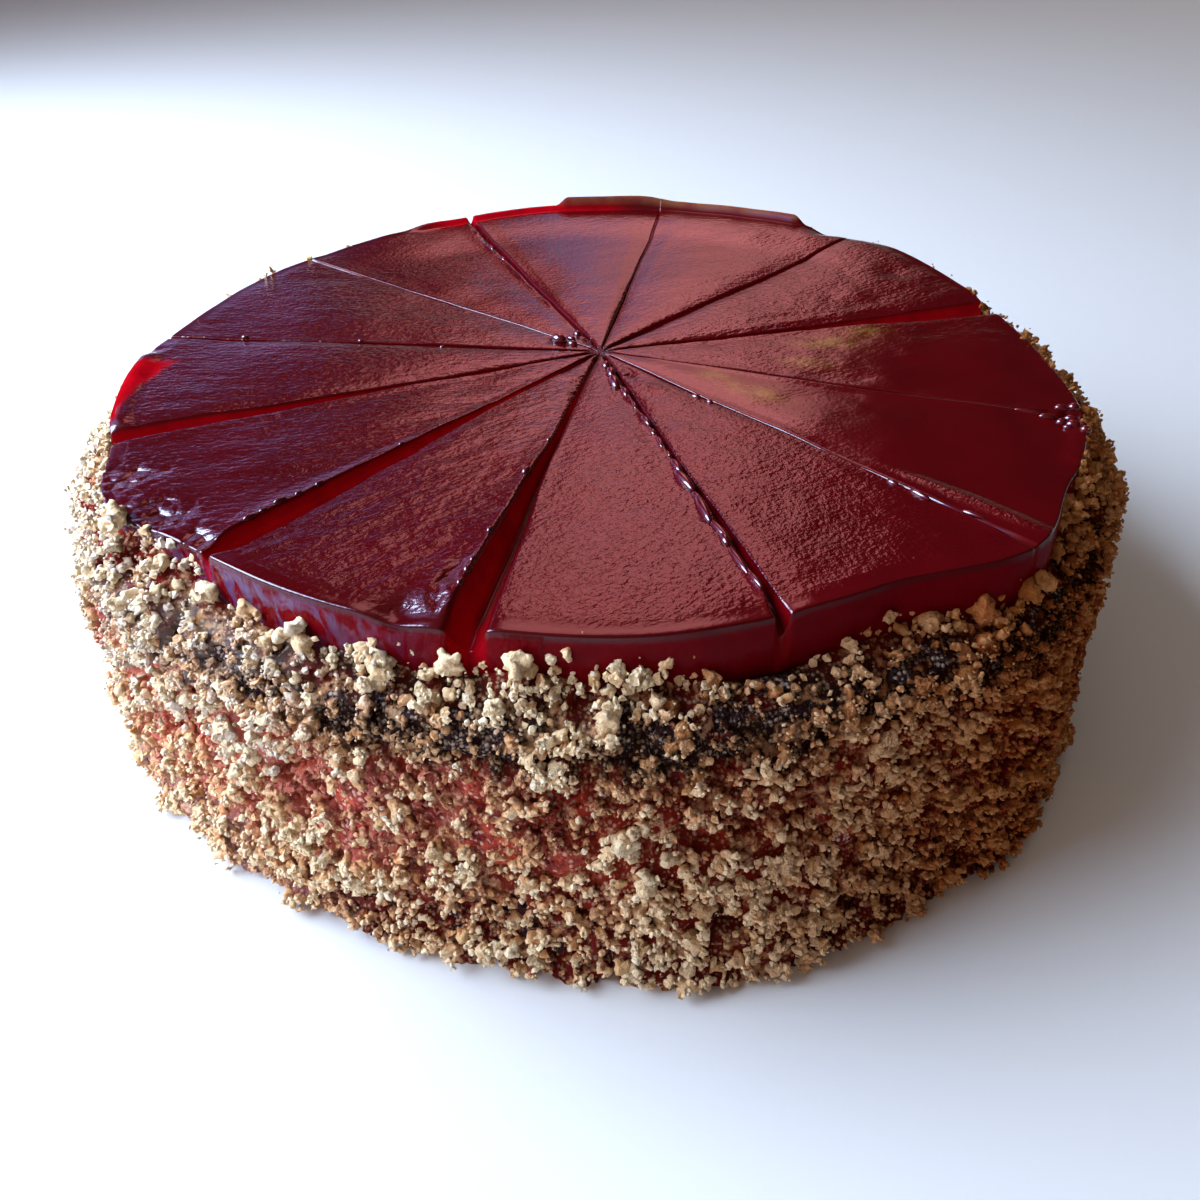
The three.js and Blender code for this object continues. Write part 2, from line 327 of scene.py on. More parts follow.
def core_radius(azimuth, height):
    """The surface of the layers and of the jelly's wall, on which the crumbs stick."""
    layers = layer_radius(azimuth, height) + LAYER_SWELL
    return mix(layers, jelly_radius(azimuth), smooth(height, JELLY_BOTTOM - 3, JELLY_BOTTOM + 3))


def placed(azimuth, radius, height):
    """Points of the cake in millimetres; higher points lean with the body."""
    turn = np.radians(azimuth)
    lean = height / CAKE_HEIGHT
    x = radius * np.cos(turn) + LEAN[0] * lean
    y = radius * np.sin(turn) + LEAN[1] * lean
    return np.stack(np.broadcast_arrays(x, y, height), axis=-1)


# ------------------------------
# Unevenness


def lattice(corner, seed):
    """A repeatable random number from -1 to 1 for each whole-numbered place."""
    i, j, k = np.moveaxis(corner, -1, 0)
    value = (i * 374761393 + j * 668265263 + k * 1440662683 + seed * 974634777) & 0xFFFFFFFF
    value = ((value ^ (value >> 13)) * 1274126177) & 0xFFFFFFFF
    value = (value ^ (value >> 16)) & 0xFFFF
    return value / 32767.5 - 1


def mottle(points, size, seed=0, octaves=1):
    """Soft random unevenness from about -1 to 1, with spots of about the given size."""
    total = 0
    strength = 1.0
    for octave in range(octaves):
        place = points * (2**octave / size) + 17.31 * octave
        corner = np.floor(place).astype(np.int64)
        share = place - corner
        share = share * share * share * (share * (share * 6 - 15) + 10)
        value = 0
        for step in np.ndindex(2, 2, 2):
            weight = np.abs(1 - np.array(step) - share)
            weight = weight[..., 0] * weight[..., 1] * weight[..., 2]
            value = value + weight * lattice(corner + step, seed + octave)
        total = total + strength * value
        strength *= 0.5
    return total * 1.4


# ------------------------------
# Modelling helpers


def deselect_all():
    if bpy.context.object and bpy.context.object.mode != "OBJECT":
        bpy.ops.object.mode_set(mode="OBJECT")
    bpy.ops.object.select_all(action="DESELECT")


def name_active(name):
    """Names the active object and its mesh."""
    piece = bpy.context.object
    piece.name = name
    piece.data.name = name
    return piece


def read_points(mesh):
    """Where the vertices of a mesh are, in its own unit."""
    points = np.empty(len(mesh.vertices) * 3, dtype=np.float32)
    mesh.vertices.foreach_get("co", points)
    return points.reshape(-1, 3)


def write_points(mesh, points):
    """Moves every vertex of a mesh; points are in millimetres."""
    mesh.vertices.foreach_set("co", (np.asarray(points) * MM).astype(np.float32).ravel())
    mesh.update()


def add_values(mesh, name, values):
    """Stores one number for each vertex, for the materials to read."""
    made = mesh.attributes.new(name, "FLOAT", "POINT")
    made.data.foreach_set("value", np.asarray(values, dtype=np.float32).ravel())


def rolled_sheet(name, columns, rows):
    """A flat grid to be rolled round the cake, with each vertex's column and row."""
    deselect_all()
    bpy.ops.mesh.primitive_grid_add(x_subdivisions=columns, y_subdivisions=rows - 1, size=1)
    piece = name_active(name)
    flat = read_points(piece.data)
    column = np.rint((flat[:, 0] + 0.5) * columns).astype(int)
    row = np.rint((flat[:, 1] + 0.5) * (rows - 1)).astype(int)
    return piece, column, row


def edit_all():
    bpy.ops.object.mode_set(mode="EDIT")
    bpy.ops.mesh.select_all(action="SELECT")


def weld_seam():
    bpy.ops.mesh.remove_doubles(threshold=0.0005 * MM)


def turn_outwards():
    """Turns all faces of the mesh that is being edited outwards, and ends the editing."""
    bpy.ops.mesh.select_all(action="SELECT")
    bpy.ops.mesh.normals_make_consistent(inside=False)
    bpy.ops.object.mode_set(mode="OBJECT")


def close_sheet():
    """Welds the active sheet's seam, caps its two open ends and turns the faces outwards."""
    edit_all()
    weld_seam()
    bpy.ops.mesh.select_all(action="DESELECT")
    bpy.ops.mesh.select_mode(type="EDGE")
    bpy.ops.mesh.select_non_manifold(
        extend=False, use_wire=False, use_multi_face=False, use_non_contiguous=False, use_verts=False
    )
    bpy.ops.mesh.edge_face_add()
    bpy.ops.mesh.select_mode(type="FACE")
    bpy.ops.mesh.poke()
    turn_outwards()


def join_all(pieces):
    """Joins pieces into the one that is active."""
    for piece in pieces:
        piece.select_set(True)
    bpy.ops.object.join()
    return bpy.context.object


def finish_piece(piece, material, node, flat=False):
    """Shades a piece, gives it its material and body, and hides the frame node that it stands for."""
    deselect_all()
    piece.select_set(True)
    bpy.context.view_layer.objects.active = piece
    if flat:
        bpy.ops.object.shade_flat()
    else:
        bpy.ops.object.shade_smooth()
    piece.data.materials.clear()
    piece.data.materials.append(material)
    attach(piece, BODY)
    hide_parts(node)


# ------------------------------
# Material helpers


def new_material(name):
    """An empty node material, with its tree and the places that it is laid on."""
    material = bpy.data.materials.new(name)
    material.use_nodes = True
    tree = material.node_tree
    tree.nodes.clear()
    return material, tree, add_node(tree, "ShaderNodeTexCoord").outputs["Object"]


def surface(material, base, roughness, gloss=0.5, normal=None, ior=1.5):
    """Ends a material with its shader."""
    inputs = {"Base Color": base, "Roughness": roughness, "Specular IOR Level": gloss, "IOR": ior}
    if normal:
        inputs["Normal"] = normal
    shader = add_node(material.node_tree, "ShaderNodeBsdfPrincipled", inputs)
    add_node(material.node_tree, "ShaderNodeOutputMaterial", {0: shader.outputs[0]})
    return material


def add_node(tree, kind, inputs=None, **settings):
    """A node with its settings, and its inputs linked or set."""
    made = tree.nodes.new(kind)
    for key, value in settings.items():
        setattr(made, key, value)
    for key, value in (inputs or {}).items():
        if isinstance(value, bpy.types.NodeSocket):
            tree.links.new(value, made.inputs[key])
        else:
            made.inputs[key].default_value = value
    return made


def tinted(share, rgb):
    """A colour made darker or lighter, by one share or one for each channel."""
    return tuple(np.multiply(share, rgb))


def attribute(tree, name):
    return add_node(tree, "ShaderNodeAttribute", attribute_name=name).outputs["Fac"]


def parted(tree, vector):
    """The three numbers of a vector."""
    return add_node(tree, "ShaderNodeSeparateXYZ", {0: vector}).outputs


def noise(tree, place, size, detail=2.0, roughness=0.5, distortion=0.0):
    """Noise with spots of a size in millimetres, on places in metres."""
    inputs = {0: place, "Scale": 1 / (size * MM), "Detail": detail, "Roughness": roughness}
    inputs["Distortion"] = distortion
    return add_node(tree, "ShaderNodeTexNoise", inputs).outputs["Fac"]


def maths(tree, operation, first, second=0.0):
    return add_node(tree, "ShaderNodeMath", {0: first, 1: second}, operation=operation).outputs[0]


def times(tree, first, second):
    return maths(tree, "MULTIPLY", first, second)


def remap(tree, value, low, high, new_low=0.0, new_high=1.0, curve="LINEAR"):
    """Turns the range from low to high into another, and holds its ends."""
    inputs = {"Value": value, 1: low, 2: high, 3: new_low, 4: new_high}
    return add_node(tree, "ShaderNodeMapRange", inputs, interpolation_type=curve).outputs[0]


def fade(tree, value, low, high, new_low=0.0, new_high=1.0):
    """The same with an S-curve."""
    return remap(tree, value, low, high, new_low, new_high, "SMOOTHSTEP")


def spotted(tree, place, size, detail, levels, values=(0.0, 1.0), roughness=0.5):
    """Noise whose range between two levels is turned into a range of values."""
    return remap(tree, noise(tree, place, size, detail, roughness), *levels, *values)


def blend(tree, share, first, second, how="MIX"):
    """A mix of two colours, each a socket, an RGB triple or one number for a grey."""
    inputs = {0: share}
    for index, value in ((6, first), (7, second)):
        if isinstance(value, (int, float)):
            value = (value, value, value)
        inputs[index] = value if isinstance(value, bpy.types.NodeSocket) else (*value, 1.0)
    return add_node(tree, "ShaderNodeMix", inputs, data_type="RGBA", blend_type=how).outputs[2]


def grit(tree, place, size, share):
    """Fine grains: which places are pale grains (a share of them), and how high they stand."""
    cells = add_node(tree, "ShaderNodeTexVoronoi", {"Vector": place, "Scale": 1 / (size * MM)})
    rounded = remap(tree, cells.outputs["Distance"], 0.25, 0.6, 1, 0)
    random = add_node(tree, "ShaderNodeSeparateColor", {0: cells.outputs["Color"]}).outputs[0]
    chosen = maths(tree, "LESS_THAN", random, share)
    return times(tree, chosen, rounded), times(tree, rounded, random)


def bump(tree, height, depth, below=None):
    """A normal from a height, whose full range is a depth in millimetres."""
    inputs = {"Height": height, "Distance": depth * MM, "Strength": 1.0}
    if below is not None:
        inputs["Normal"] = below
    return add_node(tree, "ShaderNodeBump", inputs).outputs[0]


# ------------------------------
# Settings


def colour_setting(name, description, default):
    return FloatVectorProperty(
        name=name, description=description, subtype="COLOR", size=3, default=default, min=0, max=1
    )


def length_setting(name, description, millimetres):
    return FloatProperty(
        name=name, description=description, default=millimetres * MM, min=0, subtype="DISTANCE",
        unit="LENGTH",
    )


def count_setting(name, default):
    return IntProperty(name=name, description="How many " + name.lower(), default=default, min=0)


class CakeJellySettings(bpy.types.PropertyGroup):
    """The jelly top."""

    deep_colour: colour_setting("Deep colour", "Colour of the thick jelly", (0.072, 0.0006, 0.002))
    glow_colour: colour_setting(
        "Glow colour", "Colour where light shines through thin jelly", (0.46, 0.002, 0.007)
    )
    rounding: length_setting("Rim rounding", "Radius of the rim's edge", 0.5)
    wrinkle: length_setting("Wrinkle height", "Height of the wrinkles that the knife left", 0.035)
    roughness: FloatProperty(
        name="Roughness", description="Roughness of the wet gloss", default=0.13, min=0, max=1,
        subtype="FACTOR",
    )


class CakeLayerSettings(bpy.types.PropertyGroup):
    """The layers of the body."""

    sponge_colour: colour_setting("Sponge", "Colour of the dark sponge", (0.016, 0.006, 0.006))
    filling_colour: colour_setting("Filling", "Colour of the raspberry filling", (0.60, 0.085, 0.038))
    base_colour: colour_setting("Base", "Colour of the dark base", (0.06, 0.006, 0.012))


class CakeCrumbSettings(bpy.types.PropertyGroup):
    """The crumbs round the side."""

    large: count_setting("Large crumbs", 420)
    medium: count_setting("Medium crumbs", 1900)
    common: count_setting("Common crumbs", 3900)
    small: count_setting("Small crumbs", 9600)
    tiny: count_setting("Tiny crumbs", 9200)
    fine: count_setting("Fine grains", 18500)
    ash_colour: colour_setting("Dust", "Colour of the finest grains", (0.84, 0.73, 0.62))
    cream_colour: colour_setting("Cream", "Colour of the palest crumbs", (0.98, 0.80, 0.53))
    straw_colour: colour_setting("Straw", "Colour of the common crumbs", (0.94, 0.66, 0.375))
    toasted_colour: colour_setting("Toasted", "Colour of the browned crumbs", (0.72, 0.44, 0.20))


class CakeStageSettings(bpy.types.PropertyGroup):
    """The floor, the lights and the camera."""

    floor_colour: colour_setting("Floor", "Colour of the floor", (0.70, 0.69, 0.69))
    lens: FloatProperty(
        name="Lens", description="Focal length of the camera", default=30.34, min=1, unit="CAMERA"
    )


# ------------------------------
# The jelly top

# Where a slice's columns stand next to a cut: shares of the cut's half width, then millimetres past it
CUT_STEPS = np.array((0, 0.22, 0.44, 0.64, 0.8, 0.91, 1))
SHOULDER_STEPS = np.array((0.35, 0.8, 1.5, 2.6))
COLUMNS_ACROSS = 59
COLUMNS_IN_SLICE = 2 * (len(CUT_STEPS) + len(SHOULDER_STEPS)) - 1 + COLUMNS_ACROSS
# Rows of points up the wall, round the edge, close together inside the edge (so far apart), and over the
# whole top as far as the first share of the radius
WALL_ROWS = 9
ROUND_ROWS = 5
EDGE_ROWS = 9
EDGE_ROW = 0.7
TOP_ROWS = 82
FIRST_REACH = 0.03
# Where the light comes from that shines through the walls of the cuts
LIGHT_FROM = np.array((-0.72, 0.55, 0.42))
# Where the rim is so thin that light shines through it: azimuth, half width, how much light
THIN_LEFT = (190.5, 11.5, 0.62)
THIN_BACK = (101, 24, 0.75)
# Up to which azimuth the wall is deeply wrinkled, and how much there and elsewhere
WALL_WRINKLES = (266, 2.0, 0.6)
# The map of the strokes: its unit, how much of it a slice takes up on the wall, and the step from one
# slice to the next on the top
STROKES_UNIT = 100 * MM
WALL_DEGREES = 60
STROKES_APART = 37.0


def cut_width(cut, reach):
    mouth = 1 + cut.mouth * smooth(reach, CUT_MOUTH_REACH, 1)
    return mix(cut.hub_width, cut.rim_width, smooth(reach, cut.flare, 1)) * mouth


def cut_depth(cut, reach):
    plain = mix(CUT_HUB_DEPTH, cut.depth, smooth(reach, cut.flare / 2, 1))
    mouth = smooth(reach, CUT_SPILL_REACH, 1)
    return plain * (1 + 0.8 * min(cut.mouth, 0) * mouth) + cut.spill * mouth


def notch(share):
    """A V with a sharp bottom at 0 and rounded lips near 1."""
    above = 1 - share
    return 0.5 * (np.sqrt(above * above + CUT_ROUNDING**2) + above)


def jelly_rows(rounding):
    """For each row of points, from the foot of the wall to the hub: its share of the jelly's radius, how
    far the rounding of the rim lowers it, and how far up the wall it is."""
    turns = np.linspace(0, np.pi / 2, ROUND_ROWS + 1)
    rim_reach = 1 - rounding * (1 - np.cos(turns)) / JELLY_RADIUS
    edge_reach = rim_reach[-1] - EDGE_ROW / JELLY_RADIUS * np.arange(1, EDGE_ROWS + 1)
    inner_reach = np.linspace(edge_reach[-1], FIRST_REACH, TOP_ROWS - EDGE_ROWS + 1)[1:]
    reach = np.concatenate([np.ones(WALL_ROWS), rim_reach, edge_reach, inner_reach])
    rounded = rounding * (1 - np.sin(turns))
    drop = np.concatenate([np.full(WALL_ROWS, rounding), rounded, np.zeros(TOP_ROWS)])
    up_wall = np.ones(len(reach))
    up_wall[:WALL_ROWS] = np.linspace(0, 1, WALL_ROWS, endpoint=False)
    return reach[:, None], drop[:, None], up_wall[:, None]


def slice_columns(number, reach):
    """The azimuths of a slice's columns at each reach, and then for the cuts before and after the slice:
    the cut, the columns' distance from it, its half width, and on which side of it the slice lies."""
    cut = CUTS[number]
    following = CUTS[(number + 1) % len(CUTS)]
    per_degree = np.radians(1) * reach * JELLY_RADIUS
    room = (following.azimuth - cut.azimuth) % 360 * per_degree
    first, last = (np.minimum(cut_width(this, reach) / 2, CUT_ROOM * room) for this in (cut, following))
    shoulders = SHOULDER_STEPS * np.minimum(1, SHOULDER_ROOM * room / SHOULDER_STEPS[-1])
    start = np.concatenate([first * CUT_STEPS, first + shoulders], axis=1)
    end = room - np.concatenate([last * CUT_STEPS, last + shoulders], axis=1)[:, :0:-1]
    along = np.linspace(0, 1, COLUMNS_ACROSS + 2)[1:-1]
    distance = np.concatenate([start, mix(start[:, -1:], end[:, :1], along), end], axis=1)
    azimuth = cut.azimuth + distance / per_degree
    return azimuth, (cut, distance, first, 1), (following, room - distance, last, -1)


def cut_effects(cut, from_cut, half, side, reach, place, whole):
    """What a cut does to the slice beside it: how deep it is there, how far it nicks the wall, how much
    light its wall lets through, how far it swells the slice up, and how far it shifts it sideways."""
    past = from_cut - half
    share = from_cut / np.maximum(half, 0.05)
    open_share = np.where(share < 1.6, 1 - np.maximum(1 - notch(share), 0) ** 1.8, 0)
    depth = cut_depth(cut, reach) * open_share * whole

    around = math.radians(cut.azimuth)
    tangent = np.array((-math.sin(around), math.cos(around), 0))
    facing_away = 1.4 * max(0, float(np.dot(tangent * side, LIGHT_FROM)))
    glow = cut.glow * (0.45 + 0.55 * facing_away) * smooth(reach, 0, 0.3) * smooth(open_share, 0.04, 0.3)

    blobs = 0.5 + 0.5 * mottle(place + (0, 0, 40 * side + cut.azimuth), LIP_LENGTH, seed=3)
    pushed_up = cut.lips[side > 0] * np.clip(1.3 * blobs - 0.1, 0, 1.2)
    ridge = np.exp(-(((past - LIP_OFFSET) / LIP_SPREAD) ** 2))
    started = smooth(reach, cut.lips_from, cut.lips_from + 0.1)
    ended = 1 - 0.8 * smooth(reach, 0.93, 0.98)
    rise = cut.rises[side > 0] * np.exp(-np.maximum(past, 0) / RISE_WIDTH)
    swell = pushed_up * ridge * started * ended * whole
    swell = swell + rise * smooth(reach, 0.1, 0.7) * (1 - smooth(reach, 0.92, 0.99))

    weave = mottle(np.stack([reach * 7, reach * 0 + cut.azimuth, reach * 0], -1), 1, seed=5, octaves=3)
    near = np.exp(-((from_cut / 6) ** 2))
    wobble = CUT_WOBBLE * weave * near * smooth(reach, 0.1, 0.3)
    return depth, cut.nick * open_share * whole, glow, swell, wobble


def rim_glow(azimuth, reach, place, raised):
    """How much light shines through the thin stretches of the rim."""
    from_rim = JELLY_RADIUS - reach * JELLY_RADIUS
    centre, half_width, strength = THIN_LEFT
    inner = 1 - (8.5 - 0.5 * (azimuth - 184) + 1.2 * mottle(place, 6, seed=17)) / JELLY_RADIUS
    left = strength * smooth(hump(azimuth, centre, half_width), 0.05, 0.25)
    left = left * smooth(reach - inner, -0.006, 0.006)
    centre, half_width, strength = THIN_BACK
    back = strength * smooth(hump(azimuth, centre, half_width), 0.05, 0.4)
    back = back * (1 - smooth(from_rim, 2.6, 4)) * (1 - 0.5 * raised)
    return np.maximum(left, back)


def along_strokes(points, stroke):
    """How far points lie along the strokes of the knife and across them."""
    turn = np.radians(stroke)
    along = points[..., 0] * np.cos(turn) + points[..., 1] * np.sin(turn)
    across = points[..., 1] * np.cos(turn) - points[..., 0] * np.sin(turn)
    return along, across


def slice_shape(number, azimuth, reach, place, cuts):
    """The shape of a slice's top: its swell between the cuts, its level, its waves with the dents, and how
    far it rolls over at the rim."""
    from_axis = reach * JELLY_RADIUS
    (_, from_first, first, _), (_, from_last, last, _) = cuts
    open_width = np.maximum(from_first + from_last - first - last, 0.01)
    across = np.clip((from_first - first) / open_width, 0, 1)
    pillow = PILLOW * np.sin(np.pi * across) * np.sin(np.pi * reach)
    level = SLICES[number].level * smooth(reach, 0, 0.3)
    level = level * smooth(across, 0, 0.12) * smooth(1 - across, 0, 0.12)
    waves = WAVE_HEIGHT * mottle(place + (0, 0, 31 * number), WAVE_SIZE, seed=11, octaves=2)
    waves = waves * smooth(reach, 0.05, 0.2)
    for centre, away, size, rise in TOP_DENTS:
        waves = waves + rise * spot(azimuth, from_axis, centre, away, size, size)
    roll = humps(RIM_ROLLS, azimuth) * np.clip(1 - (JELLY_RADIUS - from_axis) / ROLL_WIDTH, 0, 1) ** 2
    return pillow, level, waves, roll


def slice_wear(number, reach, place, even):
    """The wrinkles that the knife left along its strokes, and the shallow dents between them."""
    part = SLICES[number]
    along, across = along_strokes(place, part.stroke)
    strokes = [along / STROKE_LENGTH, across / STROKE_WIDTH, np.full_like(along, 7.7 * number)]
    height = part.wrinkle * bpy.context.scene.cake_jelly.wrinkle / MM * even
    wrinkles = height * mottle(np.stack(strokes, -1), 1, seed=21, octaves=2) * smooth(reach, 0.05, 0.15)
    return wrinkles, part.dents * even * mottle(place + (0, 0, 53 * number), DENT_SIZE, seed=27)


def slice_grid(number, row_reach, drop, up_wall):
    """One slice's grid of points, with the numbers that its material reads."""
    settings = bpy.context.scene.cake_jelly
    part = SLICES[number]
    is_wall = up_wall < 1
    azimuth, *cuts = slice_columns(number, row_reach)
    reach = np.broadcast_to(row_reach, azimuth.shape)
    from_axis = reach * JELLY_RADIUS
    from_rim = JELLY_RADIUS - from_axis
    place = placed(azimuth, from_axis, np.zeros(1))
    lift = rim_lift(azimuth, from_rim)
    raised = lift_share(azimuth, RIDGE) * (1 - smooth(from_rim, 1.5, 4))
    sparkle, olive_reflection, flaky = (
        strongest(spots, azimuth, from_axis) for spots in (SPARKLES, OLIVE_REFLECTION_SPOTS, FLAKY_SPOTS)
    )

    before, after = (cut_effects(*cut, reach, place, 1 - raised) for cut in cuts)
    depth, nick, glow = np.maximum(before[:3], after[:3])
    swell, wobble = np.add(before[3:], after[3:])
    azimuth = azimuth + np.degrees(wobble / from_axis)

    pillow, level, waves, roll = slice_shape(number, azimuth, reach, place, cuts)
    top = CAKE_HEIGHT + lift + pillow + level + waves + swell - depth - drop - roll
    even = (1 - smooth(depth, 0.05, 0.5)) * (1 - 0.85 * smooth(reach, 0.955, 0.985))
    for wear in slice_wear(number, reach, place, even):
        top = top + wear
    top = top + FLAKE_HEIGHT * flaky

    height = mix(JELLY_BOTTOM, top, up_wall)
    radius = reach * jelly_radius(azimuth)
    wall_grain = 0.25 * mottle(placed(azimuth, radius, height), 7, seed=13, octaves=2)
    radius = radius + np.where(is_wall, wall_grain * up_wall + 0.5 * np.sin(np.pi * up_wall), 0)
    radius = radius - nick * smooth(up_wall, 0.1, 0.8) * smooth(reach, 0.95, 1)
    points = placed(azimuth, radius, height)
    points[..., :2] += (1 - reach)[..., None] * HUB

    calm = 1 - 0.8 * smooth(points[..., 0], 38, 72) * smooth(-points[..., 1], -30, 10)
    last_wrinkled, wrinkled, plain = WALL_WRINKLES
    on_wall = np.where(azimuth % 360 < last_wrinkled, wrinkled, plain)
    return {
        "points": points,
        "glow": np.maximum(glow, rim_glow(azimuth, reach, place, raised) * ~is_wall),
        "lip": lift_share(azimuth, RIDGE) * smooth(lift, 2.4, 3.2) * ~is_wall,
        "olive_reflection": olive_reflection,
        "sparkle": sparkle,
        "wrinkle": np.where(is_wall, on_wall, part.wrinkle * calm * even),
        "grain": part.grain * calm * even + FLAKE_GRAIN * flaky,
        "wall": np.broadcast_to(is_wall * 1.0, reach.shape),
        "rim": np.broadcast_to(drop / (settings.rounding / MM), reach.shape),
    }


def jelly_grid():
    """The points of the whole jelly, slice by slice, and the numbers that its material reads."""
    rows = jelly_rows(bpy.context.scene.cake_jelly.rounding / MM)
    grids = [slice_grid(number, *rows) for number in range(len(SLICES))]
    return {key: np.concatenate([grid[key] for grid in grids], axis=1) for key in grids[0]}


def make_jelly(grid):
    rows, columns = grid["glow"].shape
    piece, column, row = rolled_sheet("jelly_slab", columns, rows)
    mesh = piece.data
    wrapped = column % columns
    write_points(mesh, grid["points"][row, wrapped])
    for name, values in grid.items():
        if name != "points":
            add_values(mesh, name, values[row, wrapped])
    # The map of the strokes: each face takes its numbers from the slice that it lies in
    corners = np.empty(len(mesh.loops), dtype=np.int32)
    mesh.loops.foreach_get("vertex_index", corners)
    corner_column = column[corners].reshape(-1, 4)
    corner_row = row[corners].reshape(-1, 4)
    slice_of_face = corner_column.min(axis=1, keepdims=True) // COLUMNS_IN_SLICE
    points = grid["points"][corner_row, corner_column % columns]
    along, across = along_strokes(points, np.array([part.stroke for part in SLICES])[slice_of_face])
    on_wall = corner_row.min(axis=1, keepdims=True) < WALL_ROWS
    along = np.where(on_wall, points[..., 2], along)
    around = corner_column / COLUMNS_IN_SLICE * WALL_DEGREES
    across = np.where(on_wall, around, across + STROKES_APART * slice_of_face)
    layer = mesh.uv_layers[0]
    layer.name = "strokes"
    strokes = np.stack([along, across], -1) * STROKES_UNIT
    layer.data.foreach_set("uv", strokes.astype(np.float32).ravel())
    close_sheet()
    return piece


def make_beads(grid):
    """The beads on the lips of the cuts, each half sunk in the jelly."""
    surface = grid["points"].reshape(-1, 3)
    surface = surface[surface[:, 2] > CAKE_HEIGHT - 3]
    generator = np.random.default_rng(3)
    beads = []
    for number, side, *run in BEADS:
        cut = CUTS[number]
        for distance, length, width in run:
            reach = distance / JELLY_RADIUS
            aside = side * (cut_width(cut, reach) / 2 + (0.45 + generator.uniform(-0.15, 0.15)) * width)
            azimuth = cut.azimuth + math.degrees(aside / distance)
            place = placed(azimuth, reach * jelly_radius(azimuth), CAKE_HEIGHT)
            place[:2] += (1 - reach) * np.array(HUB)
            near = np.argsort(((surface[:, :2] - place[:2]) ** 2).sum(axis=1))[:4]
            place[2] = surface[near, 2].mean()
            deselect_all()
            bpy.ops.mesh.primitive_uv_sphere_add(
                segments=20, ring_count=12, radius=MM, location=place * MM
            )
            bead = bpy.context.object
            bead.scale = (length / 2, width / 2, width * BEAD_HEIGHT)
            bead.rotation_euler = (0, 0, math.radians(azimuth + generator.uniform(-8, 8)))
            bpy.ops.object.transform_apply(location=True, rotation=True, scale=True)
            beads.append(bead)
    join_all(beads)
    piece = name_active("jelly_beads")
    add_values(piece.data, "bead", np.ones(len(piece.data.vertices)))
    return piece


# Painted reflection: the olive that stands in for something yellow mirrored in the top
OLIVE_REFLECTION_COLOUR = (0.13, 0.065, 0.006)
# Painted light: the olive-brown of the raised ridge at the back stands in for light from behind shining
# through it
RIDGE_BACKLIT_OLIVE = ((0.16, 0.05, 0.022), (0.13, 0.022, 0.015))
# Painted reflection: the violet sheen in streaks on the left part of the wall
WALL_SHEEN_VIOLET = (0.085, 0.05, 0.15)


def stroke_noise(tree, strokes, squeeze, scale, detail, distortion):
    """Noise drawn out along the knife's strokes."""
    drawn_out = add_node(tree, "ShaderNodeMapping", {"Vector": strokes, "Scale": squeeze}).outputs[0]
    inputs = {"Vector": drawn_out, "Scale": scale, "Detail": detail, "Distortion": distortion}
    return add_node(tree, "ShaderNodeTexNoise", inputs).outputs["Fac"]


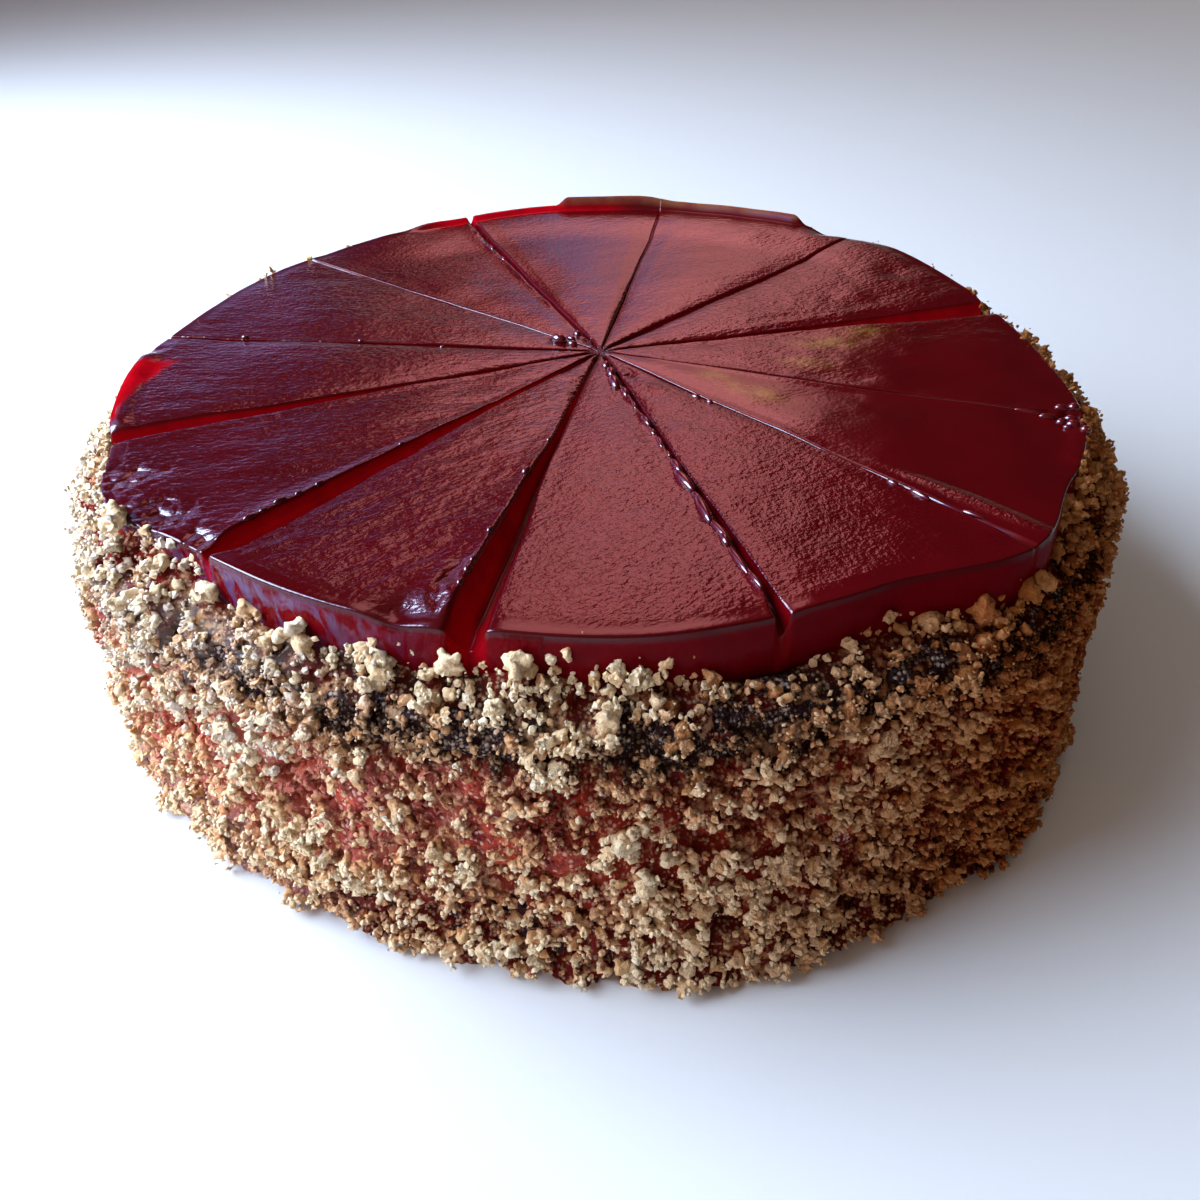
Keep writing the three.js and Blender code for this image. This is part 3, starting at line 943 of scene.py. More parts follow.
def jelly_material():
    """Wet clear jelly: dark where it is thick, red where light shines through, with painted light, painted
    shade and painted reflections in its colour.
    """
    settings = bpy.context.scene.cake_jelly
    material, tree, place = new_material("raspberry_jelly")
    across = parted(tree, place)[0]
    strokes = add_node(tree, "ShaderNodeUVMap", uv_map="strokes").outputs[0]
    glow = attribute(tree, "glow")
    wrinkle = attribute(tree, "wrinkle")
    wall = attribute(tree, "wall")

    cloud_and_shade = spotted(tree, place, 16, 3, (0.3, 0.7), (0.76, 0.98))
    # Painted shade: the deep jelly is made darker towards the left, down to 0.8 of its colour
    cloud_and_shade = times(tree, cloud_and_shade, remap(tree, across, 20 * MM, -70 * MM, 1, 0.8))
    deep = blend(tree, 1.0, settings.deep_colour, cloud_and_shade, "MULTIPLY")
    # Painted light: the wall is painted twice as bright as the thick top, standing in for light shining
    # through it
    deep = blend(tree, times(tree, wall, 0.9), deep, tinted(2.0, settings.deep_colour))
    shine = times(tree, glow, spotted(tree, place, 5, 2, (0.3, 0.7), (0.7, 1.1)))
    base = blend(tree, shine, deep, settings.glow_colour)
    # Painted reflection: olive patches on the top
    olive_reflection = times(tree, attribute(tree, "olive_reflection"), spotted(tree, place, 4, 3, (0.3, 0.55)))
    base = blend(tree, olive_reflection, base, OLIVE_REFLECTION_COLOUR)
    # Painted light shining through the raised ridge, in olive-brown
    ridge_backlit = blend(tree, spotted(tree, place, 6, 3, (0.4, 0.6)), *RIDGE_BACKLIT_OLIVE)
    base = blend(tree, attribute(tree, "lip"), base, ridge_backlit)
    streaks = remap(tree, stroke_noise(tree, strokes, (0.42, 0.8, 1.0), 4.0, 4.0, 0.9), 0.42, 0.62)
    # Painted reflection: violet sheen streaks on the left part of the wall, which also gets more gloss
    left_wall_sheen = times(tree, wall, remap(tree, across, -28 * MM, -58 * MM))
    left_wall_sheen = times(tree, left_wall_sheen, streaks)
    base = blend(tree, times(tree, left_wall_sheen, 0.75), base, WALL_SHEEN_VIOLET)

    gloss = blend(tree, wall, 0.5, blend(tree, left_wall_sheen, 0.06, 0.6))
    dull_rim = times(tree, attribute(tree, "rim"), remap(tree, across, 0, 50 * MM, 0, 0.9))
    gloss = blend(tree, dull_rim, gloss, 0)
    gloss = blend(tree, remap(tree, glow, 0, 0.6), gloss, 0)
    gloss = blend(tree, attribute(tree, "bead"), gloss, 1)

    worms = stroke_noise(tree, strokes, (0.5, 1.0, 1.0), 8.0, 2.0, 0.3)
    worms = times(tree, worms, remap(tree, wrinkle, 0, 1.6, 0, 1.6))
    brushed = stroke_noise(tree, strokes, (0.5, 1.0, 1.0), 3.6, 2.0, 0.4)
    brushed = times(tree, brushed, remap(tree, wrinkle, 1.4, 3.0))
    peel = times(tree, noise(tree, place, 1.0, 2, 0.55), attribute(tree, "grain"))
    cells = {"Vector": place, "Scale": 1 / (3.2 * MM), "Smoothness": 0.4}
    domes = add_node(tree, "ShaderNodeTexVoronoi", cells, feature="SMOOTH_F1").outputs["Distance"]
    domes = times(tree, times(tree, domes, domes), -1.0)
    domes = times(tree, domes, attribute(tree, "sparkle"))
    normal = bump(tree, brushed, 0.33, bump(tree, worms, 0.14))
    normal = bump(tree, domes, 2.6, bump(tree, peel, 0.115, normal))
    return surface(material, base, settings.roughness, gloss, normal, ior=1.4)


class CAKE_OT_jelly(bpy.types.Operator):
    """Models the scored jelly top"""

    bl_idname = "cake.jelly"
    bl_label = "Jelly top"

    def execute(self, context):
        material = jelly_material()
        grid = jelly_grid()
        for make in (make_jelly, make_beads):
            finish_piece(make(grid), material, "jelly_top")
        return {"FINISHED"}


# ------------------------------
# The layers of the body

LAYER_EDGE_TUCK = 1.2


def make_layer(layer):
    """A layer that runs through the whole cake, with an uneven side."""
    piece, column, row = rolled_sheet(layer.name, layer.columns, layer.rows)
    azimuth = 360 * column / layer.columns
    rise = row / (layer.rows - 1)
    height = mix(*layer.levels, rise)
    radius = core_radius(azimuth, height)
    lumps = layer.lump_height * mottle(placed(azimuth, radius, height), layer.lump_size, seed=31, octaves=3)
    edge = np.abs(2 * rise - 1) ** 6
    radius = radius + lumps * (1 - edge) - LAYER_EDGE_TUCK * edge
    write_points(piece.data, placed(azimuth, radius, height))
    close_sheet()
    return piece


def sponge_material(name):
    """Near-black sponge, dusted with pale grains."""
    settings = bpy.context.scene.cake_layers
    material, tree, place = new_material(name)
    pores = noise(tree, place, 1.3, 4, 0.65)
    dark, light = (tinted(share, settings.sponge_colour) for share in (0.3, 2.4))
    base = blend(tree, remap(tree, pores, 0.35, 0.7, 0.25, 1.6), dark, light)
    grains, height = grit(tree, place, 0.85, spotted(tree, place, 5, 3, (0.35, 0.62), (0.15, 0.6)))
    base = blend(tree, grains, base, (0.50, 0.38, 0.30))
    base = blend(tree, times(tree, grit(tree, place, 0.5, 0.3)[0], 0.7), base, (0.30, 0.22, 0.18))
    return surface(material, base, 0.85, 0.1, bump(tree, height, 0.5, bump(tree, pores, 0.8)))


def filling_material(name):
    """Wet raspberry filling with crumbs pressed into it."""
    settings = bpy.context.scene.cake_layers
    material, tree, place = new_material(name)
    streaks = noise(tree, place, 7, 3, 0.55, 0.6)
    seeds = noise(tree, place, 2.2, 3, 0.6)
    dark = tinted((0.3, 0.08, 0.2), settings.filling_colour)
    base = blend(tree, remap(tree, streaks, 0.38, 0.62), dark, settings.filling_colour)
    base = blend(tree, remap(tree, seeds, 0.6, 0.75, 0, 0.5), base, (0.66, 0.17, 0.09))
    grains, height = grit(tree, place, 1.0, spotted(tree, place, 4, 2, (0.35, 0.65), (0.1, 0.6)))
    base = blend(tree, grains, base, (0.74, 0.44, 0.34))
    wetness = remap(tree, streaks, 0.35, 0.65, 0.35, 0.6)
    return surface(material, base, wetness, 0.15, bump(tree, height, 0.5, bump(tree, seeds, 0.7)))


def base_material(name):
    """A dark biscuit base with paler grains."""
    settings = bpy.context.scene.cake_layers
    material, tree, place = new_material(name)
    patches = noise(tree, place, 3, 3)
    dark = tinted(0.35, settings.base_colour)
    base = blend(tree, remap(tree, patches, 0.35, 0.65), dark, settings.base_colour)
    grains, height = grit(tree, place, 1.0, remap(tree, patches, 0.35, 0.65, 0.1, 0.5))
    base = blend(tree, grains, base, (0.42, 0.24, 0.16))
    return surface(material, base, 0.7, normal=bump(tree, height, 0.5))


# A layer: the frame node that it stands for, its slot, levels, how lumpy its side is, the size of the
# lumps, its columns and rows, and its material
Layer = namedtuple("Layer", "name node slot levels lump_height lump_size columns rows make_material")
LAYERS = (
    Layer("base_layer", "dark_base", "dark_biscuit_base", BASE_LEVELS, 0.9, 5, 420, 16, base_material),
    Layer(
        "filling_layer", "raspberry_filling", "raspberry_cheese", FILLING_LEVELS, 1.3, 8, 480, 34,
        filling_material,
    ),
    Layer(
        "sponge_layer", "dark_sponge", "chocolate_sponge", SPONGE_LEVELS, 0.9, 2.6, 560, 16,
        sponge_material,
    ),
)


class CAKE_OT_layers(bpy.types.Operator):
    """Models the sponge, the raspberry filling and the base"""

    bl_idname = "cake.layers"
    bl_label = "Layers"

    def execute(self, context):
        for layer in LAYERS:
            finish_piece(make_layer(layer), layer.make_material(layer.slot), layer.node)
        return {"FINISHED"}


# ------------------------------
# The bed of fine crumbs

# The bed: its columns and rows of points, the radius of its hollow, how much less than the coat it fills,
# the least and the added wetness, which also darkens it as painted shade between the crumbs, and the size of
# its spots
BED_COLUMNS = 900
BED_ROWS = 96
BED_HOLLOW_RADIUS = 105
BED_DEPTH = 3.0
BED_SOAK_AND_SHADE = (0.78, 0.4)
BED_SPECK = 3.2
# The relief of the bed: size and height of its grains
BED_GRAINS = ((4.5, 0.9), (1.7, 0.5))


def between(height, low, high):
    """1 between two levels and 0 outside them; each level is given with where it starts and ends."""
    return smooth(height, *low) * (1 - smooth(height, *high))


def bareness(azimuth, height):
    """How thin the crumbs lie, from 0 where they are packed to 1 where the layers show."""
    place = placed(azimuth, coat_radius(azimuth, height), height)
    broad = 0.5 + 0.5 * mottle(place, 6.5, seed=41, octaves=2)
    small = 0.5 + 0.5 * mottle(place, 2.8, seed=43, octaves=2)
    low, high = SPONGE_LEVELS
    sponge = between(height, (low - 3, low + 2), (high - 2, high + 3))
    low, high = FILLING_LEVELS
    filling = between(height, (low, low + 4), (high - 4, high + 1))
    spots = mix(0.42 * broad + 0.58 * small, 0.3 * broad + 0.7 * small, sponge)
    zone = 0.08 * sponge + filling * (0.01 + 0.08 * hump(azimuth, 250, 48))
    zone = zone + 0.3 * spot(azimuth, height, 268.5, 40, 13, 1.0)
    zone = zone + 0.05 * (1 - smooth(height, 4, BASE_LEVELS[1] + 3))
    return smooth(spots + zone, 0.64, 0.9)


def bed_radius(azimuth, height):
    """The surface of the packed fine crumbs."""
    core = core_radius(azimuth, height)
    coat = coat_radius(azimuth, height)
    thick = np.maximum(coat - core - BED_DEPTH, 0.8) * smooth(coat_top(azimuth) - height, 1, 9)
    place = placed(azimuth, coat, height)
    grains = sum(size * mottle(place, width, seed=51, octaves=2) for width, size in BED_GRAINS)
    sink = (thick + 1.4) * bareness(azimuth, height)
    return core + thick - sink + grains * smooth(thick, 0, 1.5) - 0.3


def make_crumb_bed():
    """A ring of packed fine crumbs; where it sinks below them, the layers show."""
    rows = BED_ROWS + 3
    piece, column, row = rolled_sheet("crumb_bed", BED_COLUMNS, rows)
    azimuth = 360 * column / BED_COLUMNS
    rise = np.clip((row - 1) / (BED_ROWS - 1), 0, 1)
    height = rise * (coat_top(azimuth) - 1.5)
    inner = (row == 0) | (row >= BED_ROWS + 1)
    radius = np.where(inner, BED_HOLLOW_RADIUS, bed_radius(azimuth, height))
    height = np.where(row == rows - 1, 0, height)
    height = np.where(row == BED_ROWS + 1, np.minimum(height, JELLY_BOTTOM + 2), height)
    place = placed(azimuth, radius, height)
    write_points(piece.data, place)
    thin = bareness(azimuth, height)
    wet = 0.5 + 0.6 * mottle(place, BED_SPECK, seed=57, octaves=2) + 1.2 * thin
    bare = thin + hump(azimuth, 215, 50) * np.clip(mottle(place, 6, seed=67), 0, 0.6)
    add_values(piece.data, "soak_and_shade", BED_SOAK_AND_SHADE[0] + BED_SOAK_AND_SHADE[1] * np.clip(wet, 0, 1))
    add_values(piece.data, "toast", 0.35 + 0.3 * mottle(place, BED_SPECK, seed=59))
    add_values(piece.data, "bare", np.clip(bare, 0, 1))
    edit_all()
    weld_seam()
    turn_outwards()
    return piece


# ------------------------------
# The loose crumbs

# Master shapes of about 1 across: for a lump, how many faces it keeps and how fine its remesh is; for
# all, how far the unevenness of their surface moves it, and how large its spots are
LUMP_FACES = 300
LUMP_VOXEL = 0.06
LUMP_ROUGHNESS = (0.12, 0.2)
GRAIN_ROUGHNESS = (0, 0.35)
# The crumbs made of one ball: how finely it is divided, how narrow it may be squashed, its roughness,
# and on how many sides it is cut flat
Ball = namedtuple("Ball", "subdivisions narrowest roughness cuts")
CHIP = Ball(2, 0.65, (0.26, 0.35), 1)
BIT = Ball(1, 0.65, (0.2, 0.35), 0)
PEBBLE = Ball(None, 0.7, (0.26, 0.35), 0)


def lump_master(generator):
    """A large crumb: a few stuck balls remeshed into one rough lump."""
    deselect_all()
    balls = []
    for number in range(int(generator.integers(9, 14))):
        place = generator.normal(0, 0.2, 3) * (number > 0)
        radius = generator.uniform(0.13, 0.24) if number else 0.36
        bpy.ops.mesh.primitive_ico_sphere_add(subdivisions=2, radius=radius, location=place)
        bpy.context.object.scale = generator.uniform(0.75, 1.25, 3)
        balls.append(bpy.context.object)
    lump = join_all(balls)
    bpy.ops.object.transform_apply(location=True, rotation=True, scale=True)
    remesh = lump.modifiers.new("merge", "REMESH")
    remesh.mode = "VOXEL"
    remesh.voxel_size = LUMP_VOXEL
    bpy.ops.object.modifier_apply(modifier=remesh.name)
    thin = lump.modifiers.new("thin", "DECIMATE")
    thin.ratio = LUMP_FACES / max(LUMP_FACES, 2 * len(lump.data.polygons))
    bpy.ops.object.modifier_apply(modifier=thin.name)
    return take_master(generator, LUMP_ROUGHNESS)


def ball_master(generator, ball):
    """A crumb of one ball; a pebble's ball has an upper and a lower end."""
    deselect_all()
    if ball.subdivisions:
        bpy.ops.mesh.primitive_ico_sphere_add(subdivisions=ball.subdivisions, radius=0.5)
    else:
        bpy.ops.mesh.primitive_uv_sphere_add(segments=8, ring_count=4, radius=0.5)
    bpy.context.object.scale = generator.uniform(ball.narrowest, 1.15, 3)
    bpy.ops.object.transform_apply(location=False, rotation=False, scale=True)
    return take_master(generator, ball.roughness, ball.cuts)


def grain_master(generator):
    """A fine grain: eight faces with its corners moved about."""
    deselect_all()
    bpy.ops.mesh.primitive_cone_add(vertices=4, radius1=0.5, depth=0.5, end_fill_type="NOTHING")
    bpy.ops.object.mode_set(mode="EDIT")
    bpy.ops.mesh.select_mode(type="EDGE")
    bpy.ops.mesh.select_all(action="DESELECT")
    bpy.ops.mesh.select_non_manifold()
    bpy.ops.mesh.edge_face_add()
    bpy.ops.mesh.select_mode(type="FACE")
    bpy.ops.mesh.poke(offset=0.5)
    turn_outwards()
    for vertex in bpy.context.object.data.vertices:
        vertex.co += Vector(generator.uniform(-0.14, 0.14, 3))
    return take_master(generator, GRAIN_ROUGHNESS)


def take_master(generator, roughness, cuts=0):
    """Roughens the active master, and returns its points and triangles; the master is deleted."""
    edit_all()
    bpy.ops.mesh.quads_convert_to_tris()
    bpy.ops.object.mode_set(mode="OBJECT")
    piece = bpy.context.object
    mesh = piece.data
    points = read_points(mesh).astype(float)
    triangles = np.empty(len(mesh.polygons) * 3, dtype=np.int32)
    mesh.polygons.foreach_get("vertices", triangles)
    shift = generator.uniform(-50, 50, 3)
    for _ in range(cuts):
        side = generator.normal(0, 1, 3)
        side /= np.linalg.norm(side)
        beyond = np.maximum(points @ side - generator.uniform(0.2, 0.38), 0)
        points -= beyond[:, None] * side
    height, size = roughness
    length = np.linalg.norm(points, axis=1, keepdims=True)
    rough = mottle(points + shift, size, seed=61, octaves=2)[:, None]
    points += points / np.maximum(length, 0.05) * rough * height
    points -= points.mean(axis=0)
    points /= np.abs(points).max() * 2
    bpy.data.objects.remove(piece)
    bpy.data.meshes.remove(mesh)
    return points, triangles.reshape(-1, 3)


def random_turns(generator, count):
    """Random rotation matrices."""
    quaternions = generator.normal(0, 1, (count, 4))
    quaternions /= np.linalg.norm(quaternions, axis=1, keepdims=True)
    w, x, y, z = quaternions.T
    rows = (
        (1 - 2 * (y * y + z * z), 2 * (x * y - z * w), 2 * (x * z + y * w)),
        (2 * (x * y + z * w), 1 - 2 * (x * x + z * z), 2 * (y * z - x * w)),
        (2 * (x * z - y * w), 2 * (y * z + x * w), 1 - 2 * (x * x + y * y)),
    )
    return np.moveaxis(np.array(rows), -1, 0)


# How far from the layers the crumbs are still wet, and darkened as painted shade deep in the coat
SOAK_AND_SHADE_DEPTH = 6.0


def depth_soak_and_shade(points):
    """How much wetter and darker a point of a crumb is the nearer it lies to the layers: partly real stain,
    partly painted shade deep among the crumbs.
    """
    x, y, z = points.T
    lean = z / CAKE_HEIGHT
    x = x - LEAN[0] * lean
    y = y - LEAN[1] * lean
    out = np.hypot(x, y) - core_radius(np.degrees(np.arctan2(y, x)), np.minimum(z, CAKE_HEIGHT))
    on_jelly = smooth(z, JELLY_BOTTOM - 2, JELLY_BOTTOM + 3)
    return np.clip(1.0 - out / SOAK_AND_SHADE_DEPTH, 0, 1) * (1 - 0.8 * on_jelly)


def joined_copies(name, masters, crumbs, generator):
    """One mesh of many crumbs. crumbs holds places, sizes, and soak (with painted shade) and toast for each.
    """
    places, sizes, soaks_and_shades, toasts = crumbs
    kinds = generator.integers(0, len(masters), len(sizes))
    turns = random_turns(generator, len(sizes))
    points, triangles, soak_and_shade, toast = [], [], [], []
    start = 0
    for kind, (shape, faces) in enumerate(masters):
        chosen = np.flatnonzero(kinds == kind)
        turned = np.einsum("nij,vj->nvi", turns[chosen], shape) * sizes[chosen][:, None, None]
        points.append((turned + places[chosen][:, None, :]).reshape(-1, 3))
        offsets = start + len(shape) * np.arange(len(chosen))
        triangles.append((faces[None] + offsets[:, None, None]).reshape(-1, 3))
        soak_and_shade.append(np.repeat(soaks_and_shades[chosen], len(shape)))
        toast.append(np.repeat(toasts[chosen], len(shape)))
        start += len(shape) * len(chosen)
    points, triangles, soak_and_shade, toast = map(np.concatenate, (points, triangles, soak_and_shade, toast))
    points[:, 2] = np.maximum(points[:, 2], 0)
    mesh = bpy.data.meshes.new(name)
    mesh.vertices.add(len(points))
    mesh.loops.add(triangles.size)
    mesh.polygons.add(len(triangles))
    mesh.loops.foreach_set("vertex_index", triangles.astype(np.int32).ravel())
    mesh.polygons.foreach_set("loop_start", np.arange(0, triangles.size, 3, dtype=np.int32))
    mesh.update(calc_edges=True)
    mesh.validate()
    write_points(mesh, points)
    add_values(mesh, "soak_and_shade", np.clip(soak_and_shade + depth_soak_and_shade(points), 0, 1))
    add_values(mesh, "toast", toast)
    piece = bpy.data.objects.new(name, mesh)
    bpy.context.collection.objects.link(piece)
    return piece


# The map of the side: the size of a cell, and how many cells it has round and up
CELL = 0.6
MAP_HEIGHT = 84
MAP_COLUMNS = int(2 * np.pi * LAYER_BOTTOM_RADIUS / CELL)
MAP_ROWS = int(MAP_HEIGHT / CELL)
# How deep a crumb sinks in and how far it bulges out, as shares of its radius; how far it may stand out of
# the coat, and how far the coat stands out where it is bare; and the lowest place of a crumb
CRUMB_SINK = 0.3
CRUMB_BULGE = 0.85
OVERHANG = 0.9
BARE_DEPTH = 2.2
LOWEST_CRUMB = 0.8
# The band over the sponge in which some crumbs gather: its middle above the sponge's foot, its spread
BAND = (7, 6)


class CrumbHeap:
    """The side of the cake unrolled, with how far the crumbs reach out at each spot."""

    def __init__(self, generator):
        self.generator = generator
        column, row = np.meshgrid(np.arange(MAP_COLUMNS), np.arange(MAP_ROWS))
        azimuth = 360 * column / MAP_COLUMNS
        height = row * CELL
        top = coat_top(azimuth)
        self.core = core_radius(azimuth, height)
        self.bare = bareness(azimuth, height)
        full = coat_radius(azimuth, np.minimum(height, top))
        self.limit = mix(full, self.core + BARE_DEPTH, self.bare)
        bed = bed_radius(azimuth, np.minimum(height, top))
        self.reach = np.where(height < top, np.maximum(bed, self.core - 0.5), self.core)

    def cell(self, azimuth, height):
        column = (azimuth / 360 * MAP_COLUMNS).astype(int) % MAP_COLUMNS
        row = np.clip((height / CELL).astype(int), 0, MAP_ROWS - 1)
        return row, column

    def spots(self, count, drop):
        """Random azimuths and heights under the crumbs' upper edge, fewer where it is bare."""
        generator = self.generator
        tries = count * 5
        azimuth = generator.uniform(0, 360, tries)
        height = generator.uniform(LOWEST_CRUMB, CAKE_HEIGHT + 2, tries)
        band = generator.normal(SPONGE_LEVELS[0] + BAND[0], BAND[1], tries)
        height = np.where(generator.uniform(0, 1, tries) < drop.in_band, band, height)
        over = generator.exponential(drop.overlap, tries)
        under = height < coat_top(azimuth) - drop.overlap + over
        kept = generator.uniform(0, 1, tries) > drop.bare_share * self.bare[self.cell(azimuth, height)]
        good = np.flatnonzero(under & kept)
        return azimuth[good], height[good]

    def rest(self, azimuth, height, size, sure=False):
        """Lets one crumb rest on what is there. Returns its distance from the axis, or None if full."""
        radius = size / 2
        reach = max(1, int(radius / CELL))
        column = int(azimuth / 360 * MAP_COLUMNS)
        row = min(int(height / CELL), MAP_ROWS - 1)
        rows = np.arange(max(0, row - reach), min(MAP_ROWS, row + reach + 1))
        aside = np.arange(-reach, reach + 1)
        patch = np.ix_(rows, (column + aside) % MAP_COLUMNS)
        away = ((rows - row)[:, None] ** 2 + aside[None] ** 2) * CELL**2
        inside = away < radius**2
        under = self.reach[patch]
        centre = under[inside].mean() + radius * (1 - 2 * CRUMB_SINK)
        limit = self.limit[row, column % MAP_COLUMNS] + OVERHANG * min(max(1, radius / 1.5), 1.7)
        if not sure and centre + 0.8 * radius > limit:
            return None
        bulge = centre + np.sqrt(np.maximum(radius**2 - away, 0)) * CRUMB_BULGE
        self.reach[patch] = np.where(inside, np.maximum(under, bulge), under)
        return centre

    def heap(self, count, drop):
        """Drops crumbs one by one until the count is reached, and leaves out those that find no room."""
        azimuths, heights = self.spots(count, drop)
        sizes = self.sizes(len(azimuths), drop)
        found = []
        for azimuth, height, size in zip(azimuths, heights, sizes):
            distance = self.rest(azimuth, height, size)
            if distance is not None:
                found.append((azimuth, height, size, distance))
            if len(found) == count:
                break
        return self.crumbs(*np.array(found).T, drop.toasted)

    def scatter(self, count, drop):
        """Fine grains: each sticks where it lands."""
        azimuth, height = (values[:count] for values in self.spots(count, drop))
        sizes = self.sizes(len(azimuth), drop)
        distance = self.reach[self.cell(azimuth, height)]
        distance = distance + sizes * self.generator.uniform(-0.25, 0.3, len(sizes))
        return self.crumbs(azimuth, height, sizes, distance, drop.toasted)

    def sizes(self, count, drop):
        low, high = drop.sizes
        return low + (high - low) * self.generator.beta(1.3, 2.6, count)

    def crumbs(self, azimuth, height, sizes, distance, toasted):
        """Places and sizes of crumbs, and how wet and how toasted each is; the upper ones on the left are
        made paler as painted light, and those on the right wetter and browner as painted shade.
        """
        place = placed(azimuth, distance, height)
        wet = 0.5 + 0.5 * mottle(place, 9, seed=71, octaves=2)
        soak_and_shade = 0.45 * wet - 0.15 + self.generator.normal(0, 0.12, len(sizes))
        # Painted light and shade: upper crumbs on the left are made paler, crumbs on the right wetter and
        # browner
        painted_light_paler = hump(azimuth, 222, 62) * smooth(height, 30, 44)
        painted_shade_browner = hump(azimuth, 325, 60)
        juicy = hump(azimuth, 214, 42) * between(height, (8, 16), (38, 46))
        soak_and_shade = soak_and_shade + 0.15 * painted_shade_browner + 0.16 * juicy
        toast = self.generator.uniform(*toasted, len(sizes)) + 0.18 - 0.33 * painted_light_paler + 0.3 * painted_shade_browner
        place[:, 2] = np.maximum(place[:, 2], sizes * 0.45)
        return place, sizes, soak_and_shade, toast


# How far the shading of a crumb leans towards the side as a whole
CRUMB_SOFTNESS = 0.42
JELLY_STAIN = (0.15, 0.014, 0.011)


def vector_maths(tree, operation, first, second=(0, 0, 0)):
    return add_node(tree, "ShaderNodeVectorMath", {0: first, 1: second}, operation=operation).outputs[0]


def crumb_material():
    """Dry biscuit, wet and stained where it touches the layers, with painted light on the left and painted
    shade on the right and between the crumbs.
    """
    settings = bpy.context.scene.cake_crumbs
    material, tree, place = new_material("biscuit_crumbs")
    soak_and_shade = attribute(tree, "soak_and_shade")
    toast = attribute(tree, "toast")
    across, _, up = parted(tree, place)
    # Painted light: towards the left the stains and the sand's low spots are made paler, and the red stain
    # pinker
    painted_light_left = remap(tree, across, -45 * MM, -105 * MM)
    painted_light_pinker = remap(tree, across, -5 * MM, -70 * MM)
    # Painted shade: how far towards the right the crumbs are darkened
    painted_shade_right = remap(tree, across, -5 * MM, 75 * MM)
    height = maths(tree, "ADD", up, spotted(tree, place, 9, 2, (0.3, 0.7), (-4 * MM, 4 * MM)))

    dry = blend(tree, remap(tree, toast, 0.0, 0.3), settings.ash_colour, settings.cream_colour)
    dry = blend(tree, remap(tree, toast, 0.35, 0.9), dry, settings.straw_colour)
    dry = blend(tree, remap(tree, toast, 0.95, 0.99, 0, 0.85), dry, settings.toasted_colour)
    sand = noise(tree, place, 0.85, 3, 0.7)
    # Painted shade: the sand's low spots are darker straw, less dark towards the left
    pit_shade = blend(tree, painted_light_left, *(tinted(share, settings.straw_colour) for share in (0.5, 0.8)))
    dry = blend(tree, remap(tree, sand, 0.36, 0.52, 0.6, 0), dry, pit_shade)

    # What the layers stain the wet crumbs with, painted paler towards the left as painted light
    dark_stain = blend(tree, painted_light_left, (0.035, 0.015, 0.012), (0.34, 0.27, 0.26))
    wine_stain = blend(tree, painted_light_left, (0.14, 0.015, 0.011), (0.50, 0.25, 0.24))
    red_stain = blend(tree, painted_light_pinker, (0.20, 0.017, 0.010), (0.62, 0.17, 0.13))
    red_stain = blend(tree, attribute(tree, "bare"), red_stain, (0.55, 0.075, 0.038))
    stain = wine_stain
    for level, below, above, colour in (
        (FILLING_LEVELS[0], 2, 3, red_stain),
        (SPONGE_LEVELS[0], 3, 1, dark_stain),
        (SPONGE_LEVELS[1], 1, 4, JELLY_STAIN),
    ):
        stain = blend(tree, remap(tree, height, (level - below) * MM, (level + above) * MM), stain, colour)
    soak_and_shade = maths(tree, "ADD", soak_and_shade, spotted(tree, place, 1.6, 3, (0.3, 0.7), (-0.2, 0.2), 0.6))
    damp = blend(tree, 1.0, dry, (0.86, 0.60, 0.46), "MULTIPLY")
    # Soak darkens and stains the crumbs: partly real wetness, partly painted shade deep among the crumbs
    base = blend(tree, remap(tree, soak_and_shade, 0.3, 0.62), dry, damp)
    base = blend(tree, remap(tree, soak_and_shade, 0.6, 0.95), base, stain)
    dusted = times(tree, grit(tree, place, 0.8, 0.5)[0], remap(tree, soak_and_shade, 0.6, 0.8, 0, 0.3))
    base = blend(tree, dusted, base, settings.cream_colour)
    # Painted shade: towards the right the crumbs are darkened and browned
    base = blend(tree, painted_shade_right, base, blend(tree, 1.0, base, (0.56, 0.32, 0.18), "MULTIPLY"))

    # The crumbs let some light through, so their shading leans towards the side of the cake as a whole
    outward = vector_maths(tree, "NORMALIZE", vector_maths(tree, "MULTIPLY", place, (1, 1, 0)))
    normal = blend(tree, CRUMB_SOFTNESS, bump(tree, sand, 0.75), outward)
    return surface(material, base, 0.9, 0.0, vector_maths(tree, "NORMALIZE", normal))


# Crumbs that stand out at the upper edge: azimuth, drop below the top, size
EDGE_CRUMBS = (
    (220, -0.3, 6.6), (226, 5, 5.5), (232, 7, 5.5), (237, 7.5, 6), (243, 6.5, 6.5), (244, 8.5, 5),
    (258, 7, 7), (264, 5.5, 8.6), (262, 12, 6.5), (268, 3.2, 2.6), (276, 6, 4), (297, 6.5, 4.2),
    (301, 9.5, 5.5), (306, 9, 6.5), (311, 9, 6), (313, 8, 5.5), (318, 8, 4.5), (132, 0.8, 3.2),
    (140, 0.6, 3.6), (147, 0.2, 4.2), (150, 1.0, 3.0), (157, 1.4, 3.6),
)
EDGE_TOAST = (0.2, 0.8)
